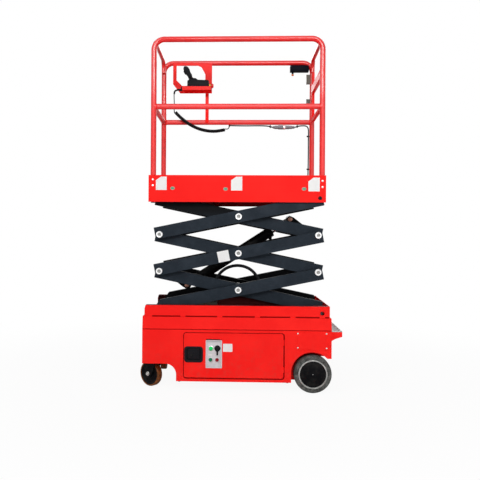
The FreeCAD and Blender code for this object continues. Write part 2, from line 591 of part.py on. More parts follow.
def make_doors():
    for word, sign in (("near", -1), ("far", 1)):
        face = "-body_half" if sign < 0 else "body_half - door_depth"
        back = "-body_half + door_depth" if sign < 0 else "body_half"
        slab = rounded(f"door_slab_{word}", "door_front", "door_rear", face, back, "door_low", "door_top",
                       "door_corner")
        hollow = rounded(f"door_hollow_{word}", "door_front + sheet_thick", "door_rear - sheet_thick",
                         "-body_half + sheet_thick" if sign < 0 else "body_half - door_depth - 1",
                         "-body_half + door_depth + 1" if sign < 0 else "body_half - sheet_thick",
                         "door_low + sheet_thick", "door_top - sheet_thick", "door_corner - sheet_thick")
        tools = [hollow]
        recess_y = ("-body_half - 1", "-body_half + sheet_thick + 1") if sign < 0 else (
            "body_half - sheet_thick - 1", "body_half + 1")
        left, right = "door_front + latch_front", "door_front + latch_rear"
        under, over = "door_low + latch_low", "door_low + latch_top"
        tools.append(box(f"latch_hole_{word}", f"{left} + latch_rim", f"{right} - latch_rim", recess_y[0],
                         recess_y[1], f"{under} + latch_rim", f"{over} - latch_rim"))
        if sign < 0:
            tools.append(box("panel_hole", "door_front + 148", "door_front + 250", recess_y[0], recess_y[1],
                             "door_low + 68", "door_low + 255"))
        panel = cut(f"door_{word}_panel", slab, tools)
        knuckles = [round_z(f"door_{word}_knuckle_{i}", "door_rear + door_hinge",
                            "-body_half - 1" if sign < 0 else "body_half + 1", z, f"{z} + 36", "door_knuckle")
                    for i, z in enumerate(("door_low + 40", "door_top - 76"))]
        keep(f"door_{word}", fuse(f"door_{word}_hung", [panel] + knuckles))
        depth0 = "-body_half - 3" if sign < 0 else "body_half - 12"
        depth1 = "-body_half + 12" if sign < 0 else "body_half + 3"
        rim0 = "-body_half - 3" if sign < 0 else "body_half"
        rim1 = "-body_half" if sign < 0 else "body_half + 3"
        rim = box(f"latch_rim_{word}", left, right, rim0, rim1, under, over)
        cup = box(f"latch_cup_{word}", f"{left} + latch_rim", f"{right} - latch_rim", depth0, depth1,
                  f"{under} + latch_rim", f"{over} - latch_rim")
        pocket = box(f"latch_pocket_{word}", f"{left} + 2 * latch_rim", f"{right} - 2 * latch_rim",
                     "-body_half - 4" if sign < 0 else "body_half - 9",
                     "-body_half + 9" if sign < 0 else "body_half + 4",
                     f"{under} + 2 * latch_rim", f"{over} - 2 * latch_rim")
        paddle = box(f"latch_paddle_{word}", f"{left} + 3 * latch_rim", f"{right} - 3 * latch_rim",
                     "-body_half - 1" if sign < 0 else "body_half - 10",
                     "-body_half + 10" if sign < 0 else "body_half + 1",
                     f"{under} + 4 * latch_rim", f"{over} - 3 * latch_rim")
        dish = cut(f"latch_dish_{word}", fuse(f"latch_body_{word}", [rim, cup]), [pocket])
        keep(f"door_{word}_latch", fuse(f"latch_{word}", [dish, paddle]))
    bezel = box("panel_bezel", "door_front + 145", "door_front + 253", "-body_half - 4", "-body_half",
                "door_low + 65", "door_low + 258")
    face = cut("panel_face", bezel, [box("panel_recess", "door_front + 151", "door_front + 247",
                                         "-body_half - 5",
                                         "-body_half", "door_low + 71", "door_low + 252")])
    shell = box("panel_shell", "door_front + 148", "door_front + 250", "-body_half - 1", "-body_half + 40",
                "door_low + 68", "door_low + 255")
    back = cut("panel_back", shell, [box("panel_sunk", "door_front + 151", "door_front + 247",
                                         "-body_half - 2",
                                         "-body_half + 6", "door_low + 71", "door_low + 252")])
    knobs = []
    for knob, along, up, radius, out in (("lamp", 179, 201, 15, 13), ("switch", 222, 202, 18, 15),
                                         ("green", 177, 125, 13, 11), ("red", 220, 125, 13, 11)):
        knobs.append(round_y(f"panel_{knob}", f"door_front + {along}", f"-body_half + 6 - {out}",
                             "-body_half + 7", f"door_low + {up}", radius))
    keep("control_panel", fuse("control_panel_whole", [face, back] + knobs))


def make_drive_wheels():
    for word, sign in (("near", -1), ("far", 1)):
        y0, y1 = ("-wheel_face", "-(wheel_face - wheel_width)")
        if sign > 0:
            y0, y1 = ("wheel_face - wheel_width", "wheel_face")
        tyre = cut(f"tyre_{word}_ring", round_y(f"tyre_{word}_disc", "wheel_x", y0, y1, "wheel_dia / 2",
                                                "wheel_dia / 2"),
                   [round_y(f"tyre_{word}_bore", "wheel_x", f"{y0} - 1", f"{y1} + 1", "wheel_dia / 2",
                            "rim_dia / 2")])
        keep(f"drive_wheel_{word}_tyre", tyre)
        rim = round_y(f"rim_{word}_disc", "wheel_x", y0, y1, "wheel_dia / 2", "rim_dia / 2")
        dish0, dish1 = (f"{y0} - 1", f"{y0} + 8") if sign < 0 else (f"{y1} - 8", f"{y1} + 1")
        back0, back1 = (f"{y1} - 40", f"{y1} + 1") if sign < 0 else (f"{y0} - 1", f"{y0} + 40")
        hub = cut(f"rim_{word}_cut", rim, [
            round_y(f"dish_{word}", "wheel_x", dish0, dish1, "wheel_dia / 2", "hub_dia / 2"),
            round_y(f"motor_space_{word}", "wheel_x", back0, back1, "wheel_dia / 2", "motor_dia / 2 + 6"),
            round_y(f"spindle_bore_{word}", "wheel_x", f"{back0} - 14" if sign < 0 else back0,
                    back1 if sign < 0 else f"{back1} + 14", "wheel_dia / 2", "17.05"),
        ])
        cap0, cap1 = (f"{y0} + 3", f"{y0} + 9") if sign < 0 else (f"{y1} - 9", f"{y1} - 3")
        cap = round_y(f"hub_cap_{word}", "wheel_x", cap0, cap1, "wheel_dia / 2", "hub_dia / 2 - 4")
        keep(f"drive_wheel_{word}_hub", fuse(f"drive_wheel_{word}_hub_whole", [hub, cap]))


def make_casters():
    wheel_z = "caster_dia / 2"
    for word, sign, yaw in (("near", -1, size.caster_yaw_near), ("far", 1, size.caster_yaw_far)):
        turn = Rotation(Vector(0, 0, 1), -yaw)
        stem = round_z(f"fork_{word}_stem", "0", "0", "bay_ceiling - 9", "bay_ceiling - 1", "34")
        crown = box(f"fork_{word}_crown", "-caster_trail - 16", "32", "-(caster_width / 2 + 4 + fork_thick)",
                    "caster_width / 2 + 4 + fork_thick", "caster_dia + 8", "caster_dia + 14")
        neck = round_z(f"fork_{word}_neck", "0", "0", "caster_dia + 13", "bay_ceiling - 8", "20")
        legs = []
        for side, low in (("a", "-(caster_width / 2 + 4 + fork_thick)"), ("b", "caster_width / 2 + 4")):
            legs.append(plate(f"fork_{word}_leg_{side}", [
                ("-caster_trail - 26", f"{wheel_z} - 12"), ("-caster_trail - 12", f"{wheel_z} - 26"),
                ("-caster_trail + 12", f"{wheel_z} - 26"), ("-caster_trail + 26", f"{wheel_z} - 12"),
                ("32", "caster_dia - 6"), ("32", "caster_dia + 9"), ("-caster_trail - 16", "caster_dia + 9"),
            ], low, f"{low} + fork_thick"))
        axle = round_y(f"fork_{word}_axle", "-caster_trail", "-(caster_width / 2 + 4 + fork_thick + 9)",
                       "caster_width / 2 + 4 + fork_thick + 9", wheel_z, "8")
        fork = fuse(f"fork_{word}_whole", [stem, crown, neck, axle] + legs)
        tread = cut(f"caster_{word}_ring", round_y(f"caster_{word}_disc", "-caster_trail",
                                                   "-caster_width / 2",
                                                   "caster_width / 2", wheel_z, wheel_z),
                    [round_y(f"caster_{word}_inner", "-caster_trail", "-caster_width", "caster_width",
                             wheel_z,
                             "caster_core / 2")])
        core = cut(f"caster_{word}_core_bored",
                   round_y(f"caster_{word}_core_disc", "-caster_trail", "-(caster_width / 2 - 3)",
                           "caster_width / 2 - 3", wheel_z, "caster_core / 2"),
                   [round_y(f"caster_{word}_bore", "-caster_trail", "-caster_width", "caster_width", wheel_z,
                            "8.5")])
        for name, obj in ((f"caster_{word}_fork", fork), (f"caster_{word}_tread", tread),
                          (f"caster_{word}_core", core)):
            kingpin = sign * (size.body_half - size.caster_inset)
            obj.Placement = Placement(Vector(size.caster_x, kingpin, 0), turn)
            keep(name, obj)


def arm_pair(name, rises_right, centre_z, near_y0, near_y1, bores):
    """Near and far arm of one stage; bores are (along the arm, off its middle line, diameter)."""
    bar = box(f"{name}_bar", "-(arm_span / 2 + arm_overhang)", "arm_span / 2 + arm_overhang",
              f"-({near_y1})", f"-({near_y0})", "-arm_depth / 2", "arm_depth / 2")
    drills = [round_y(f"{name}_bore_{i}", along, f"-({near_y1}) - 1", f"-({near_y0}) + 1", off,
                      f"({dia}) / 2")
              for i, (along, off, dia) in enumerate(bores)]
    if name == "outer_1":
        end = "-(arm_span / 2 + arm_overhang)"
        drills.append(plate(f"{name}_trim", [
            (f"{end} - 1", "arm_depth / 2 + 1"), (f"{end} - 1", "arm_depth / 2 - arm_trim"),
            (f"{end} + arm_trim", "arm_depth / 2 + 1"),
        ], f"-({near_y1}) - 1", f"-({near_y0}) + 1"))
    arm = cut(f"{name}_arm", bar, drills)
    pair = both(f"{name}_pair", arm)
    return tilt(pair, rises_right, centre_z)


def tilt(obj, rises_right, centre_z):
    """Turn a piece from the arm's own line to its stage."""
    obj.Placement = Placement(Vector(), Rotation(Vector(0, -1 if rises_right else 1, 0), 10))
    bind(obj, "Placement.Rotation.Angle", f"fold_angle - {TILT}")
    place(obj, MIDDLE_X, "0", centre_z)
    return obj


def make_scissor():
    half = "sqrt(arm_span * arm_span / 4 - pin_offset * pin_offset)"
    for stage in (1, 2, 3):
        centre_z = f"pivot_height + {stage - 0.5} * {RISE}"
        # end pins sit below the middle line at the low end and above it at the high end
        outer_bores = [(f"-{half}", "-pin_offset", "pin_dia"), ("0", "0", "pin_dia"), (half, "pin_offset",
                                                                                       "pin_dia")]
        inner_bores = [(f"-{half}", "pin_offset", "tie_dia"), ("0", "0", "pin_dia + pin_play"),
                       (half, "-pin_offset", "tie_dia")]
        if stage == 1:
            inner_bores[2] = (half, "-pin_offset", "pin_dia + pin_play")
        if stage == 3:
            inner_bores[0] = (f"-{half}", "pin_offset", "pin_dia")
        keep(f"outer_{stage}_arms", arm_pair(f"outer_{stage}", True, centre_z, "outer_face - arm_width",
                                             "outer_face", outer_bores))
        keep(f"inner_{stage}_arms", arm_pair(f"inner_{stage}", False, centre_z, INNER_BACK, INNER_FACE,
                                             inner_bores))
        make_outer_pins(stage, half, centre_z)
        make_inner_ties(stage, half, centre_z)


def make_outer_pins(stage, half, centre_z):
    name = f"outer_{stage}"
    pieces = []
    for end, along, off in (("low", f"-{half}", "-pin_offset"), ("high", half, "pin_offset")):
        reach = "outer_face + washer_thick"
        if stage == 1 and end == "low":
            reach = "upper_half - sheet_thick - 6"
        shaft = [round_y(f"{name}_{end}_shaft", along, f"-({reach})", reach, off, "pin_dia / 2")]
        if stage == 1 and end == "low":
            roller = round_y(f"{name}_roller", along, "-(outer_face + 26 + roller_width)",
                             "-(outer_face + 26)", off,
                             "roller_dia / 2")
            shaft += [roller, mirror(f"{name}_roller_far", roller)]
        else:
            washer = round_y(f"{name}_{end}_washer", along, "-(outer_face + washer_thick)", "-outer_face",
                             off,
                             "washer_dia / 2")
            head = round_y(f"{name}_{end}_head", along, "-(outer_face + washer_thick + bolt_height)",
                           "-outer_face",
                           off, "bolt_head / 2")
            shaft += [washer, mirror(f"{name}_{end}_washer_far", washer), head,
                      mirror(f"{name}_{end}_head_far", head)]
        pieces.append(fuse(f"{name}_{end}_pin", shaft))
    stub = round_y(f"{name}_stub", "0", "-(outer_face + washer_thick)", f"-({INNER_BACK} - 4)", "0",
                   "pin_dia / 2")
    washer = round_y(f"{name}_mid_washer", "0", "-(outer_face + washer_thick)", "-outer_face", "0",
                     "washer_dia / 2")
    head = round_y(f"{name}_mid_head", "0", "-(outer_face + washer_thick + bolt_height)", "-outer_face", "0",
                   "bolt_head / 2")
    spacer = round_y(f"{name}_spacer", "0", f"-({INNER_FACE} + arm_gap)", f"-({INNER_FACE} + 0.5)", "0",
                     "tie_dia / 2")
    pieces.append(both(f"{name}_mid_pins", fuse(f"{name}_mid_pin", [stub, washer, head, spacer])))
    keep(f"{name}_pins", tilt(group(f"{name}_pin_set", pieces), True, centre_z))


def make_inner_ties(stage, half, centre_z):
    name = f"inner_{stage}"
    pieces = []

    def sleeve(word, along, off, bore):
        tube = round_y(f"{name}_{word}_tube", along, f"-{INNER_FACE}", INNER_FACE, off, "tie_dia / 2")
        hole = round_y(f"{name}_{word}_hole", along, f"-{INNER_FACE} - 1", f"{INNER_FACE} + 1", off, bore)
        return cut(f"{name}_{word}_sleeve", tube, [hole])

    if stage == 1:
        short = round_y(f"{name}_pivot_tube", half, f"-{INNER_BACK}", INNER_BACK, "-pin_offset",
                        "tie_dia / 2")
        drill = round_y(f"{name}_pivot_hole", half, f"-{INNER_BACK} - 1", f"{INNER_BACK} + 1", "-pin_offset",
                        BORE)
        pieces.append(cut(f"{name}_pivot_sleeve", short, [drill]))
    else:
        pieces.append(sleeve("low", half, "-pin_offset", BORE))
    if stage < 3:
        pieces.append(sleeve("high", f"-{half}", "pin_offset", BORE))
    else:
        axle = round_y(f"{name}_roller_axle", f"-{half}", f"-{INNER_FACE}", f"-({INNER_BACK} - 37)",
                       "pin_offset",
                       "pin_dia / 2")
        roller = round_y(f"{name}_roller", f"-{half}", f"-({INNER_BACK} - 6)",
                         f"-({INNER_BACK} - 6 - roller_width)",
                         "pin_offset", "roller_dia / 2")
        pieces.append(both(f"{name}_rollers", fuse(f"{name}_roller_set", [axle, roller])))
    if stage == 1:
        for word, along in (("left", "-hose_reach"), ("right", "hose_reach")):
            pieces.append(box(f"hose_clip_{word}", f"{along} - 12", f"{along} + 12", f"-{INNER_BACK}",
                              f"-({INNER_BACK} - 8)", "arm_depth / 2 - 30", "arm_depth / 2 - 4"))
    if stage != 2:
        pieces.append(cylinder_lugs(name, 1 if stage == 3 else -1))
    keep(f"{name}_ties", tilt(group(f"{name}_tie_set", pieces), False, centre_z))


def cylinder_lugs(name, side):
    """Cross tube with the two lugs that hold one end of the cylinder, in the arm's own line."""
    sign = "" if side > 0 else "-"
    turn = TILT
    pin_u = f"({sign}(ram_along * cos({turn}) + ram_off * sin({turn})))"
    pin_v = f"({sign}(ram_off * cos({turn}) - ram_along * sin({turn})))"
    tube_u = f"({sign}tie_along)"
    tube = round_y(f"{name}_ram_tube", tube_u, f"-{INNER_BACK}", INNER_BACK, "0", "tie_dia / 2")
    lugs = []
    for word, y0, y1 in (("near", "-(lug_inner + lug_thick)", "-lug_inner"),
                         ("far", "lug_inner", "lug_inner + lug_thick")):
        lugs.append(plate(f"{name}_lug_{word}", [
            (f"{tube_u} + {sign}25", "0"), (f"{tube_u} + {sign}25", f"{sign}18"),
            (f"{pin_u} + {sign}24", f"{pin_v} + {sign}18"), (f"{pin_u} - {sign}8", f"{pin_v} + {sign}24"),
            (f"{pin_u} - {sign}26", f"{pin_v} + {sign}4"),
            (f"{pin_u} - {sign}20", f"{pin_v} - {sign}22"), (f"{tube_u} - {sign}60", f"-({sign}18)"),
            (f"{tube_u}", f"-({sign}18)"),
        ], y0, y1))
    if name == "inner_3":
        pin = [round_y(f"{name}_ram_pin", pin_u, "-(lug_inner + lug_thick + 8)", "lug_inner + lug_thick + 8",
                       pin_v,
                       "pin_dia / 2")]
    else:
        head = round_y(f"{name}_ram_head", pin_u, "-(lug_inner + lug_thick + 8)", "-lug_inner - 1", pin_v,
                       "pin_dia / 2")
        pin = [head, mirror(f"{name}_ram_head_far", head)]
    return fuse(f"{name}_ram_mount", [tube] + lugs + pin)


RAM_X = "(2 * (ram_along * cos(fold_angle) + ram_off * sin(fold_angle)))"
RAM_Z = "(2 * ((arm_span - ram_along) * sin(fold_angle) + ram_off * cos(fold_angle)))"
RAM_LEN = f"sqrt({RAM_X} * {RAM_X} + {RAM_Z} * {RAM_Z})"


def aim_cylinder(obj):
    """Put a piece drawn along X from the foot pin onto the cylinder's line."""
    obj.Placement = Placement(Vector(), Rotation(Vector(0, -1, 0), 10))
    bind(obj, "Placement.Rotation.Angle", f"atan({RAM_Z} / {RAM_X}) / 1 deg")
    return place(obj, f"{MIDDLE_X} - {RAM_X} / 2", "0", f"pivot_height + 1.5 * {RISE} - {RAM_Z} / 2")


def make_cylinder():
    barrel = cut("barrel_bored", round_x("barrel_tube", "40", "barrel_len", "0", "0", "barrel_dia / 2"),
                 [round_x("barrel_bore", "60", "barrel_len + 1", "0", "0", "rod_dia / 2 + rod_play")])
    foot = round_y("barrel_foot", "0", "-knuckle_half", "knuckle_half", "0", "knuckle_dia / 2")
    neck = box("barrel_neck", "0", "45", "-knuckle_half", "knuckle_half", "-20", "20")
    pin = round_y("barrel_pin", "0", "-(lug_inner - 1)", "lug_inner - 1", "0", "pin_dia / 2")
    port = round_z("barrel_port", "barrel_len - 35", "0", "-(barrel_dia / 2 + 22)", "-(barrel_dia / 2 - 4)",
                   "8")
    keep("cylinder_barrel", aim_cylinder(fuse("barrel_whole", [barrel, foot, neck, pin, port])))
    rod = round_x("rod_bar", f"{RAM_LEN} - rod_len", f"{RAM_LEN} - 10", "0", "0", "rod_dia / 2")
    eye = round_y("rod_eye", RAM_LEN, "-knuckle_half", "knuckle_half", "0", "knuckle_dia / 2")
    hole = round_y("rod_eye_bore", RAM_LEN, "-knuckle_half - 1", "knuckle_half + 1", "0", BORE)
    keep("cylinder_rod", aim_cylinder(cut("rod_whole", fuse("rod_solid", [rod, eye]), [hole])))


def make_platform():
    top = f"({TOP_PIVOT} + deck_rise)"
    under = f"({TOP_PIVOT} + deck_rise - floor_thick)"
    roof = f"({TOP_PIVOT} + roller_dia / 2 + 0.5)"
    base = f"({TOP_PIVOT} - roller_dia / 2 - 0.5)"
    boards = cut("toe_ring", box("toe_outer", "platform_front", "platform_rear", "-platform_half",
                                 "platform_half",
                                 "toe_low", "toe_top"),
                 [box("toe_inner", "platform_front + toe_thick", "platform_rear - toe_thick",
                      "-(platform_half - toe_thick)", "platform_half - toe_thick", "toe_low - 1", "toe_top + 1"),
                  box("end_board_space", "platform_front - 1", "platform_rear + 1",
                      "-(platform_half - toe_thick)",
                      "platform_half - toe_thick", "toe_low - 1", f"{TOP_PIVOT} + 20")])
    pieces = [boards, box("platform_floor", "platform_front + 1", "platform_rear - 1", "-platform_half + 1",
                          "platform_half - 1", under, top)]
    for word, y0, y1 in (("near", "-(platform_half - toe_thick + 0.5)", "-(outer_face + 10)"),
                         ("far", "outer_face + 10", "platform_half - toe_thick + 0.5")):
        pieces.append(box(f"toe_lip_{word}", "platform_front + 1", "platform_rear - 1", y0, y1, "toe_low",
                          "toe_low + toe_thick"))
    for i in range(4):
        at = f"platform_front + 150 + {i} * 290"
        pieces.append(box(f"floor_beam_{i}", at, f"{at} + 40", f"-({INNER_BACK} - 6)", f"{INNER_BACK} - 6",
                          f"{under} - 10", under))
    for word, sign in (("near", -1), ("far", 1)):
        web = ("-slide_web - 5", "-slide_web") if sign < 0 else ("slide_web", "slide_web + 5")
        flange = ("-slide_web - 40", "-slide_web") if sign < 0 else ("slide_web", "slide_web + 40")
        pieces.append(box(f"slide_web_{word}", "platform_front + 1", "slide_end", web[0], web[1],
                          f"{base} - 5", under))
        pieces.append(box(f"slide_roof_{word}", "platform_front + 1", "slide_end", flange[0], flange[1], roof,
                          f"{roof} + 5"))
        pieces.append(box(f"slide_base_{word}", "platform_front + 1", "slide_end", flange[0], flange[1],
                          f"{base} - 5", base))
        lug_y = (f"-({INNER_FACE} - 4)", f"-({INNER_FACE} - 12)") if sign < 0 else (
            f"{INNER_FACE} - 12", f"{INNER_FACE} - 4")
        lug = plate(f"platform_lug_{word}", [
            ("pivot_x - 45", under), ("pivot_x - 24", f"{TOP_PIVOT} - 15"), ("pivot_x - 12",
                                                                             f"{TOP_PIVOT} - 25"),
            ("pivot_x + 12", f"{TOP_PIVOT} - 25"), ("pivot_x + 24", f"{TOP_PIVOT} - 15"), ("pivot_x + 40",
                                                                                           under),
        ], lug_y[0], lug_y[1])
        pieces.append(cut(f"platform_lug_{word}_bored", lug, [
            round_y(f"platform_lug_hole_{word}", "pivot_x", f"-{INNER_FACE}", INNER_FACE, TOP_PIVOT, BORE)]))
    keep("platform_deck", fuse("platform_deck_whole", pieces))


def make_rails():
    posts = {}
    for word, sign in (("near", -1), ("far", 1)):
        y = sign * size.rail_half
        hoop = bent_tube(f"rail_hoop_{word}", [
            (size.rail_front, y, platform_floor), (size.rail_front, y, rail_top),
            (size.rail_rear, y, rail_top), (size.rail_rear, y, platform_floor),
        ], size.rail_bend, size.rail_dia)
        middle = round_x(f"rail_middle_{word}", "rail_front", "rail_rear", f"{sign} * rail_half", "rail_mid",
                         "rail_dia / 2")
        posts[word] = fuse(f"rail_frame_{word}", [hoop, middle])
        keep(f"rail_{word}", posts[word])
    ends = []
    leg_y = size.rail_half - (size.rail_dia + size.end_rail_dia) / 2 + 1
    leg_end = platform_floor + size.end_leg_up
    end_top = platform_floor + size.end_rail_up
    for word, x in (("front", size.rail_front), ("rear", size.rail_rear)):
        ends.append(bent_tube(f"end_rail_{word}", [
            (x, -leg_y, leg_end), (x, -leg_y, end_top), (x, leg_y, end_top), (x, leg_y, leg_end),
        ], size.end_rail_bend, size.end_rail_dia))
    ends.append(round_y("end_rail_middle", "rail_front", "-rail_half", "rail_half", "rail_mid",
                        "rail_dia / 2 - 1"))
    trimmed = [cut(f"{bar.Name}_fitted", bar, [posts["near"], posts["far"]]) for bar in ends]
    keep("rail_ends", group("rail_end_set", trimmed))


def make_gate():
    bar = "gate_bar / 2"
    low = "-(rail_half - rail_dia / 2 - 8)"
    high = "gate_hinge - 12"
    hinges_at = ("low_hinge", "high_hinge")
    pieces = [
        box("gate_bar_top", f"rail_rear - {bar}", f"rail_rear + {bar}", low, high,
            "gate_top - gate_plank / 2",
            "gate_top + gate_plank / 2"),
        box("gate_bar_low", "rail_rear - 11", "rail_rear + 11", low, high, "gate_low - 11", "gate_low + 11"),
        box("gate_stile_near", "rail_rear - 10", "rail_rear + 10", low, f"{low} + 20", "gate_low",
            "gate_top"),
        box("gate_stile_far", "rail_rear - 10", "rail_rear + 10", f"{high} - 18", high, "gate_low",
            "high_hinge + gate_hinge_tall"),
    ]
    for i, z in enumerate(hinges_at):
        pieces.append(box(f"gate_ear_{i}", "rail_rear - 10", "rail_rear + 10", f"{high} - 1", "gate_hinge",
                          f"{z} + 22",
                          f"{z} + 48"))
        pieces.append(round_z(f"gate_knuckle_{i}", "rail_rear", "gate_hinge", f"{z} + 22", f"{z} + 48", "10"))
    holes = [round_z("gate_hinge_hole", "rail_rear", "gate_hinge", "low_hinge - 1",
                     "high_hinge + gate_hinge_tall + 1", "5.5")]
    keep("gate", cut("gate_whole", fuse("gate_frame", pieces), holes))
    hinges = []
    for i, z in enumerate(hinges_at):
        pin = round_z(f"hinge_pin_{i}", "rail_rear", "gate_hinge", f"{z} + 10", f"{z} + 62", "5")
        leaves = [box(f"hinge_leaf_{i}_{k}", "rail_rear - 6", "rail_rear + 6", "gate_hinge - 8",
                      "rail_half - 10",
                      f"{z} + {k}", f"{z} + {k + 12}") for k in (8, 52)]
        hinges.append(fuse(f"hinge_{i}", [pin] + leaves))
        hinges.append(box(f"hinge_spring_{i}", "rail_rear - 44", "rail_rear - 12", "rail_half - 12",
                          "rail_half + 10",
                          z, f"{z} + gate_hinge_tall"))
    keep("gate_hinges", cut("gate_hinges_fitted", group("hinge_set", hinges), [PARTS["rail_far"]]))


def make_controls():
    inner = "rail_half - rail_dia / 2"
    face = (f"{inner} - sheet_thick", inner)
    low = "(rail_top - control_drop)"
    base = "(rail_top - box_drop)"
    frame = plate("control_frame", [
        ("control_front", "rail_top - 5"), ("control_front", f"{low} + 71"), ("control_front + 56", low),
        ("control_rear", low), ("control_rear", "rail_top - 5"),
    ], *face)
    window = plate("control_window", [
        ("control_front + 27", "rail_top - 23"), ("control_front + 27", f"{low} + 101"),
        ("control_front + 70", f"{low} + 58"), ("control_rear - 52", f"{low} + 58"),
        ("control_rear - 52", "rail_top - 91"), ("control_rear - 82", "rail_top - 36"),
        ("control_rear - 112", "rail_top - 23"),
    ], f"{inner} - sheet_thick - 1", "rail_half")
    plate_cut = cut("control_plate", frame, [window])
    tray = box("control_tray", "control_front + 80", "control_rear - 4", "box_middle - box_half - 16", inner,
               f"{base} - sheet_thick", base)
    lip = box("control_tray_lip", "control_front + 80", "control_rear - 4", "box_middle - box_half - 16",
              "box_middle - box_half - 12", low, base)
    stay = box("control_stay", "control_rear - 50", "control_rear - 24", *face, "rail_mid - 8", f"{low} + 6")
    keep("control_bracket", fuse("control_bracket_whole", [plate_cut, tray, lip, stay]))
    box_body = plate("control_box_body", [
        ("box_front", base), ("box_front", f"{base} + 44"), ("box_front + 14", f"{base} + 62"),
        ("box_front + 62", f"{base} + 62"), ("box_front + 74", f"{base} + 54"), ("box_rear - 6",
                                                                                 f"{base} + 51"),
        ("box_rear", f"{base} + 44"), ("box_rear", base),
    ], "box_middle - box_half", "box_middle + box_half")
    grip = plate("joystick_grip", [
        ("box_front + 6", f"{base} + 48"), ("box_front - 36", f"{base} + 138"), ("box_front - 48",
                                                                                 f"{base} + 150"),
        ("box_front - 32", f"{base} + 170"), ("box_front - 12", f"{base} + 170"), ("box_front + 2",
                                                                                   f"{base} + 138"),
        ("box_front + 20", f"{base} + 110"), ("box_front + 40", f"{base} + 56"),
    ], "box_middle - 16", "box_middle + 16")
    link = box("gland_link", "box_front - 60", "box_front + 4", "box_middle - 7", "box_middle + 7",
               f"{base} + 0.2", f"{base} + 8")
    elbow = box("gland_elbow", "box_front - 61", "box_front - 48", "box_middle - 8", "box_middle + 8",
                f"{base} - 23", f"{base} + 8")
    gland = round_x("cord_gland", "box_front - 82", "box_front - 60", "box_middle", f"{base} - 14", "8")
    keep("control_box", fuse("control_box_whole", [box_body, grip, link, elbow, gland]))
    stop = fuse("stop_button_whole", [
        round_x("stop_collar", "box_rear", "box_rear + 17", "box_middle", f"{base} + 16", "stop_dia / 2 - 5"),
        round_x("stop_head", "box_rear + 16", "box_rear + 35", "box_middle", f"{base} + 16", "stop_dia / 2"),
    ])
    keep("stop_button", stop)
    beacon = fuse("beacon_whole", [
        box("beacon_case", "beacon_front", "beacon_rear", "rail_half - 24", "rail_half + 24",
            "rail_top - beacon_drop", "rail_top - rail_dia / 2"),
        round_z("beacon_stalk", "beacon_front + 20", "rail_half", "rail_top - beacon_drop - 28",
                "rail_top - beacon_drop + 1", "9"),
    ])
    keep("beacon_box", cut("beacon_fitted", beacon, [PARTS["rail_far"]]))


def make_cords():
    y = size.rail_half
    under_rail = rail_mid - size.rail_dia / 2 - size.lead_dia / 2 - 1
    drop = under_rail - 14
    first = cord_tube("held_cable_first", [
        (-85, y, under_rail), (20, y, under_rail - 3), (140, y, under_rail - 1), (215, y, drop), (250, y,
                                                                                                  drop),
    ], size.lead_dia)
    second = cord_tube("held_cable_second", [
        (418, y, drop), (440, y, drop), (470, y, under_rail - 4), (514, y, under_rail - 4), (520, y,
                                                                                             under_rail - 80),
        (524, y, under_rail - 200), (522, y, under_rail - 380), (518, y, platform_floor + 0.3),
    ], size.lead_dia)
    keep("held_cable", group("held_cable_pair", [first, second]))
    keep("cable_connector", fuse("connector_whole", [
        round_x("connector_left", "250", "330", "rail_half", f"{drop}", "16"),
        round_x("connector_ring", "330", "345", "rail_half", f"{drop}", "18"),
        round_x("connector_right", "345", "418", "rail_half", f"{drop}", "14"),
    ]))
    # the control cord's runs, from the end of the box's cord gland
    gland = Vector(size.box_front - 82, size.box_middle, rail_top - size.box_drop - 14)
    lead = [(-0.3, 0, 0), (-22, 2, -2), (-33, 8, -26), (-29, 16, -98), (-32, 21.2, -150.5), (-22.2, 22,
                                                                                             -162.75)]
    curl = [(-22, 22, -163), (-10, 23, -178), (30, 24, -216), (99, 26, -266), (175, 29, -298), (251, 32,
                                                                                                -310),
            (309, 35, -307), (357, 38, -296)]
    tail = [(357.4, 38, -296), (376, 39, -292), (387, 51, -282), (389, 68, -270)]
    leads = [cord_tube(f"cord_lead_{word}", [gland + Vector(*step) for step in run], size.lead_dia)
             for word, run in (("first", lead), ("second", tail))]
    keep("control_cord_leads", group("control_cord_lead_pair", leads))
    keep("control_cord", cord_tube("control_cord_tube", [gland + Vector(*step) for step in curl],
                                   size.cord_dia))
    centre_z = size.pivot_height + rise / 2
    keep("hose_arch", cord_tube("hose_arch_tube", [
        (middle_x + along, -size.hose_plane, centre_z + up) for along, up in (
            (-156, 50), (-140, 86), (-90, 130), (-30, 150), (30, 148), (86, 124), (130, 76), (150, 20), (152,
                                                                                                         -4))
    ], size.hose_dia))


make_body()
make_body_fittings()
make_doors()
make_drive_wheels()
make_casters()
make_scissor()
make_cylinder()
make_platform()
make_rails()
make_gate()
make_controls()
make_cords()
doc.recompute()

faults = []
for obj in doc.Objects:
    if "Invalid" in obj.State or "Error" in obj.State:
        faults.append(f"{obj.Name}: {obj.State}")
for name, obj in PARTS.items():
    if obj.Shape.isNull() or not obj.Shape.isValid():
        faults.append(f"{name}: bad shape")
if faults:
    raise SystemExit("\n".join(faults))

os.makedirs("parts", exist_ok=True)
for name, obj in PARTS.items():
    obj.Shape.exportStep(f"parts/{name}.step")
print(len(PARTS), "parts")
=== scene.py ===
import json
import math

import bmesh
import bpy
from mathutils import Matrix, Vector

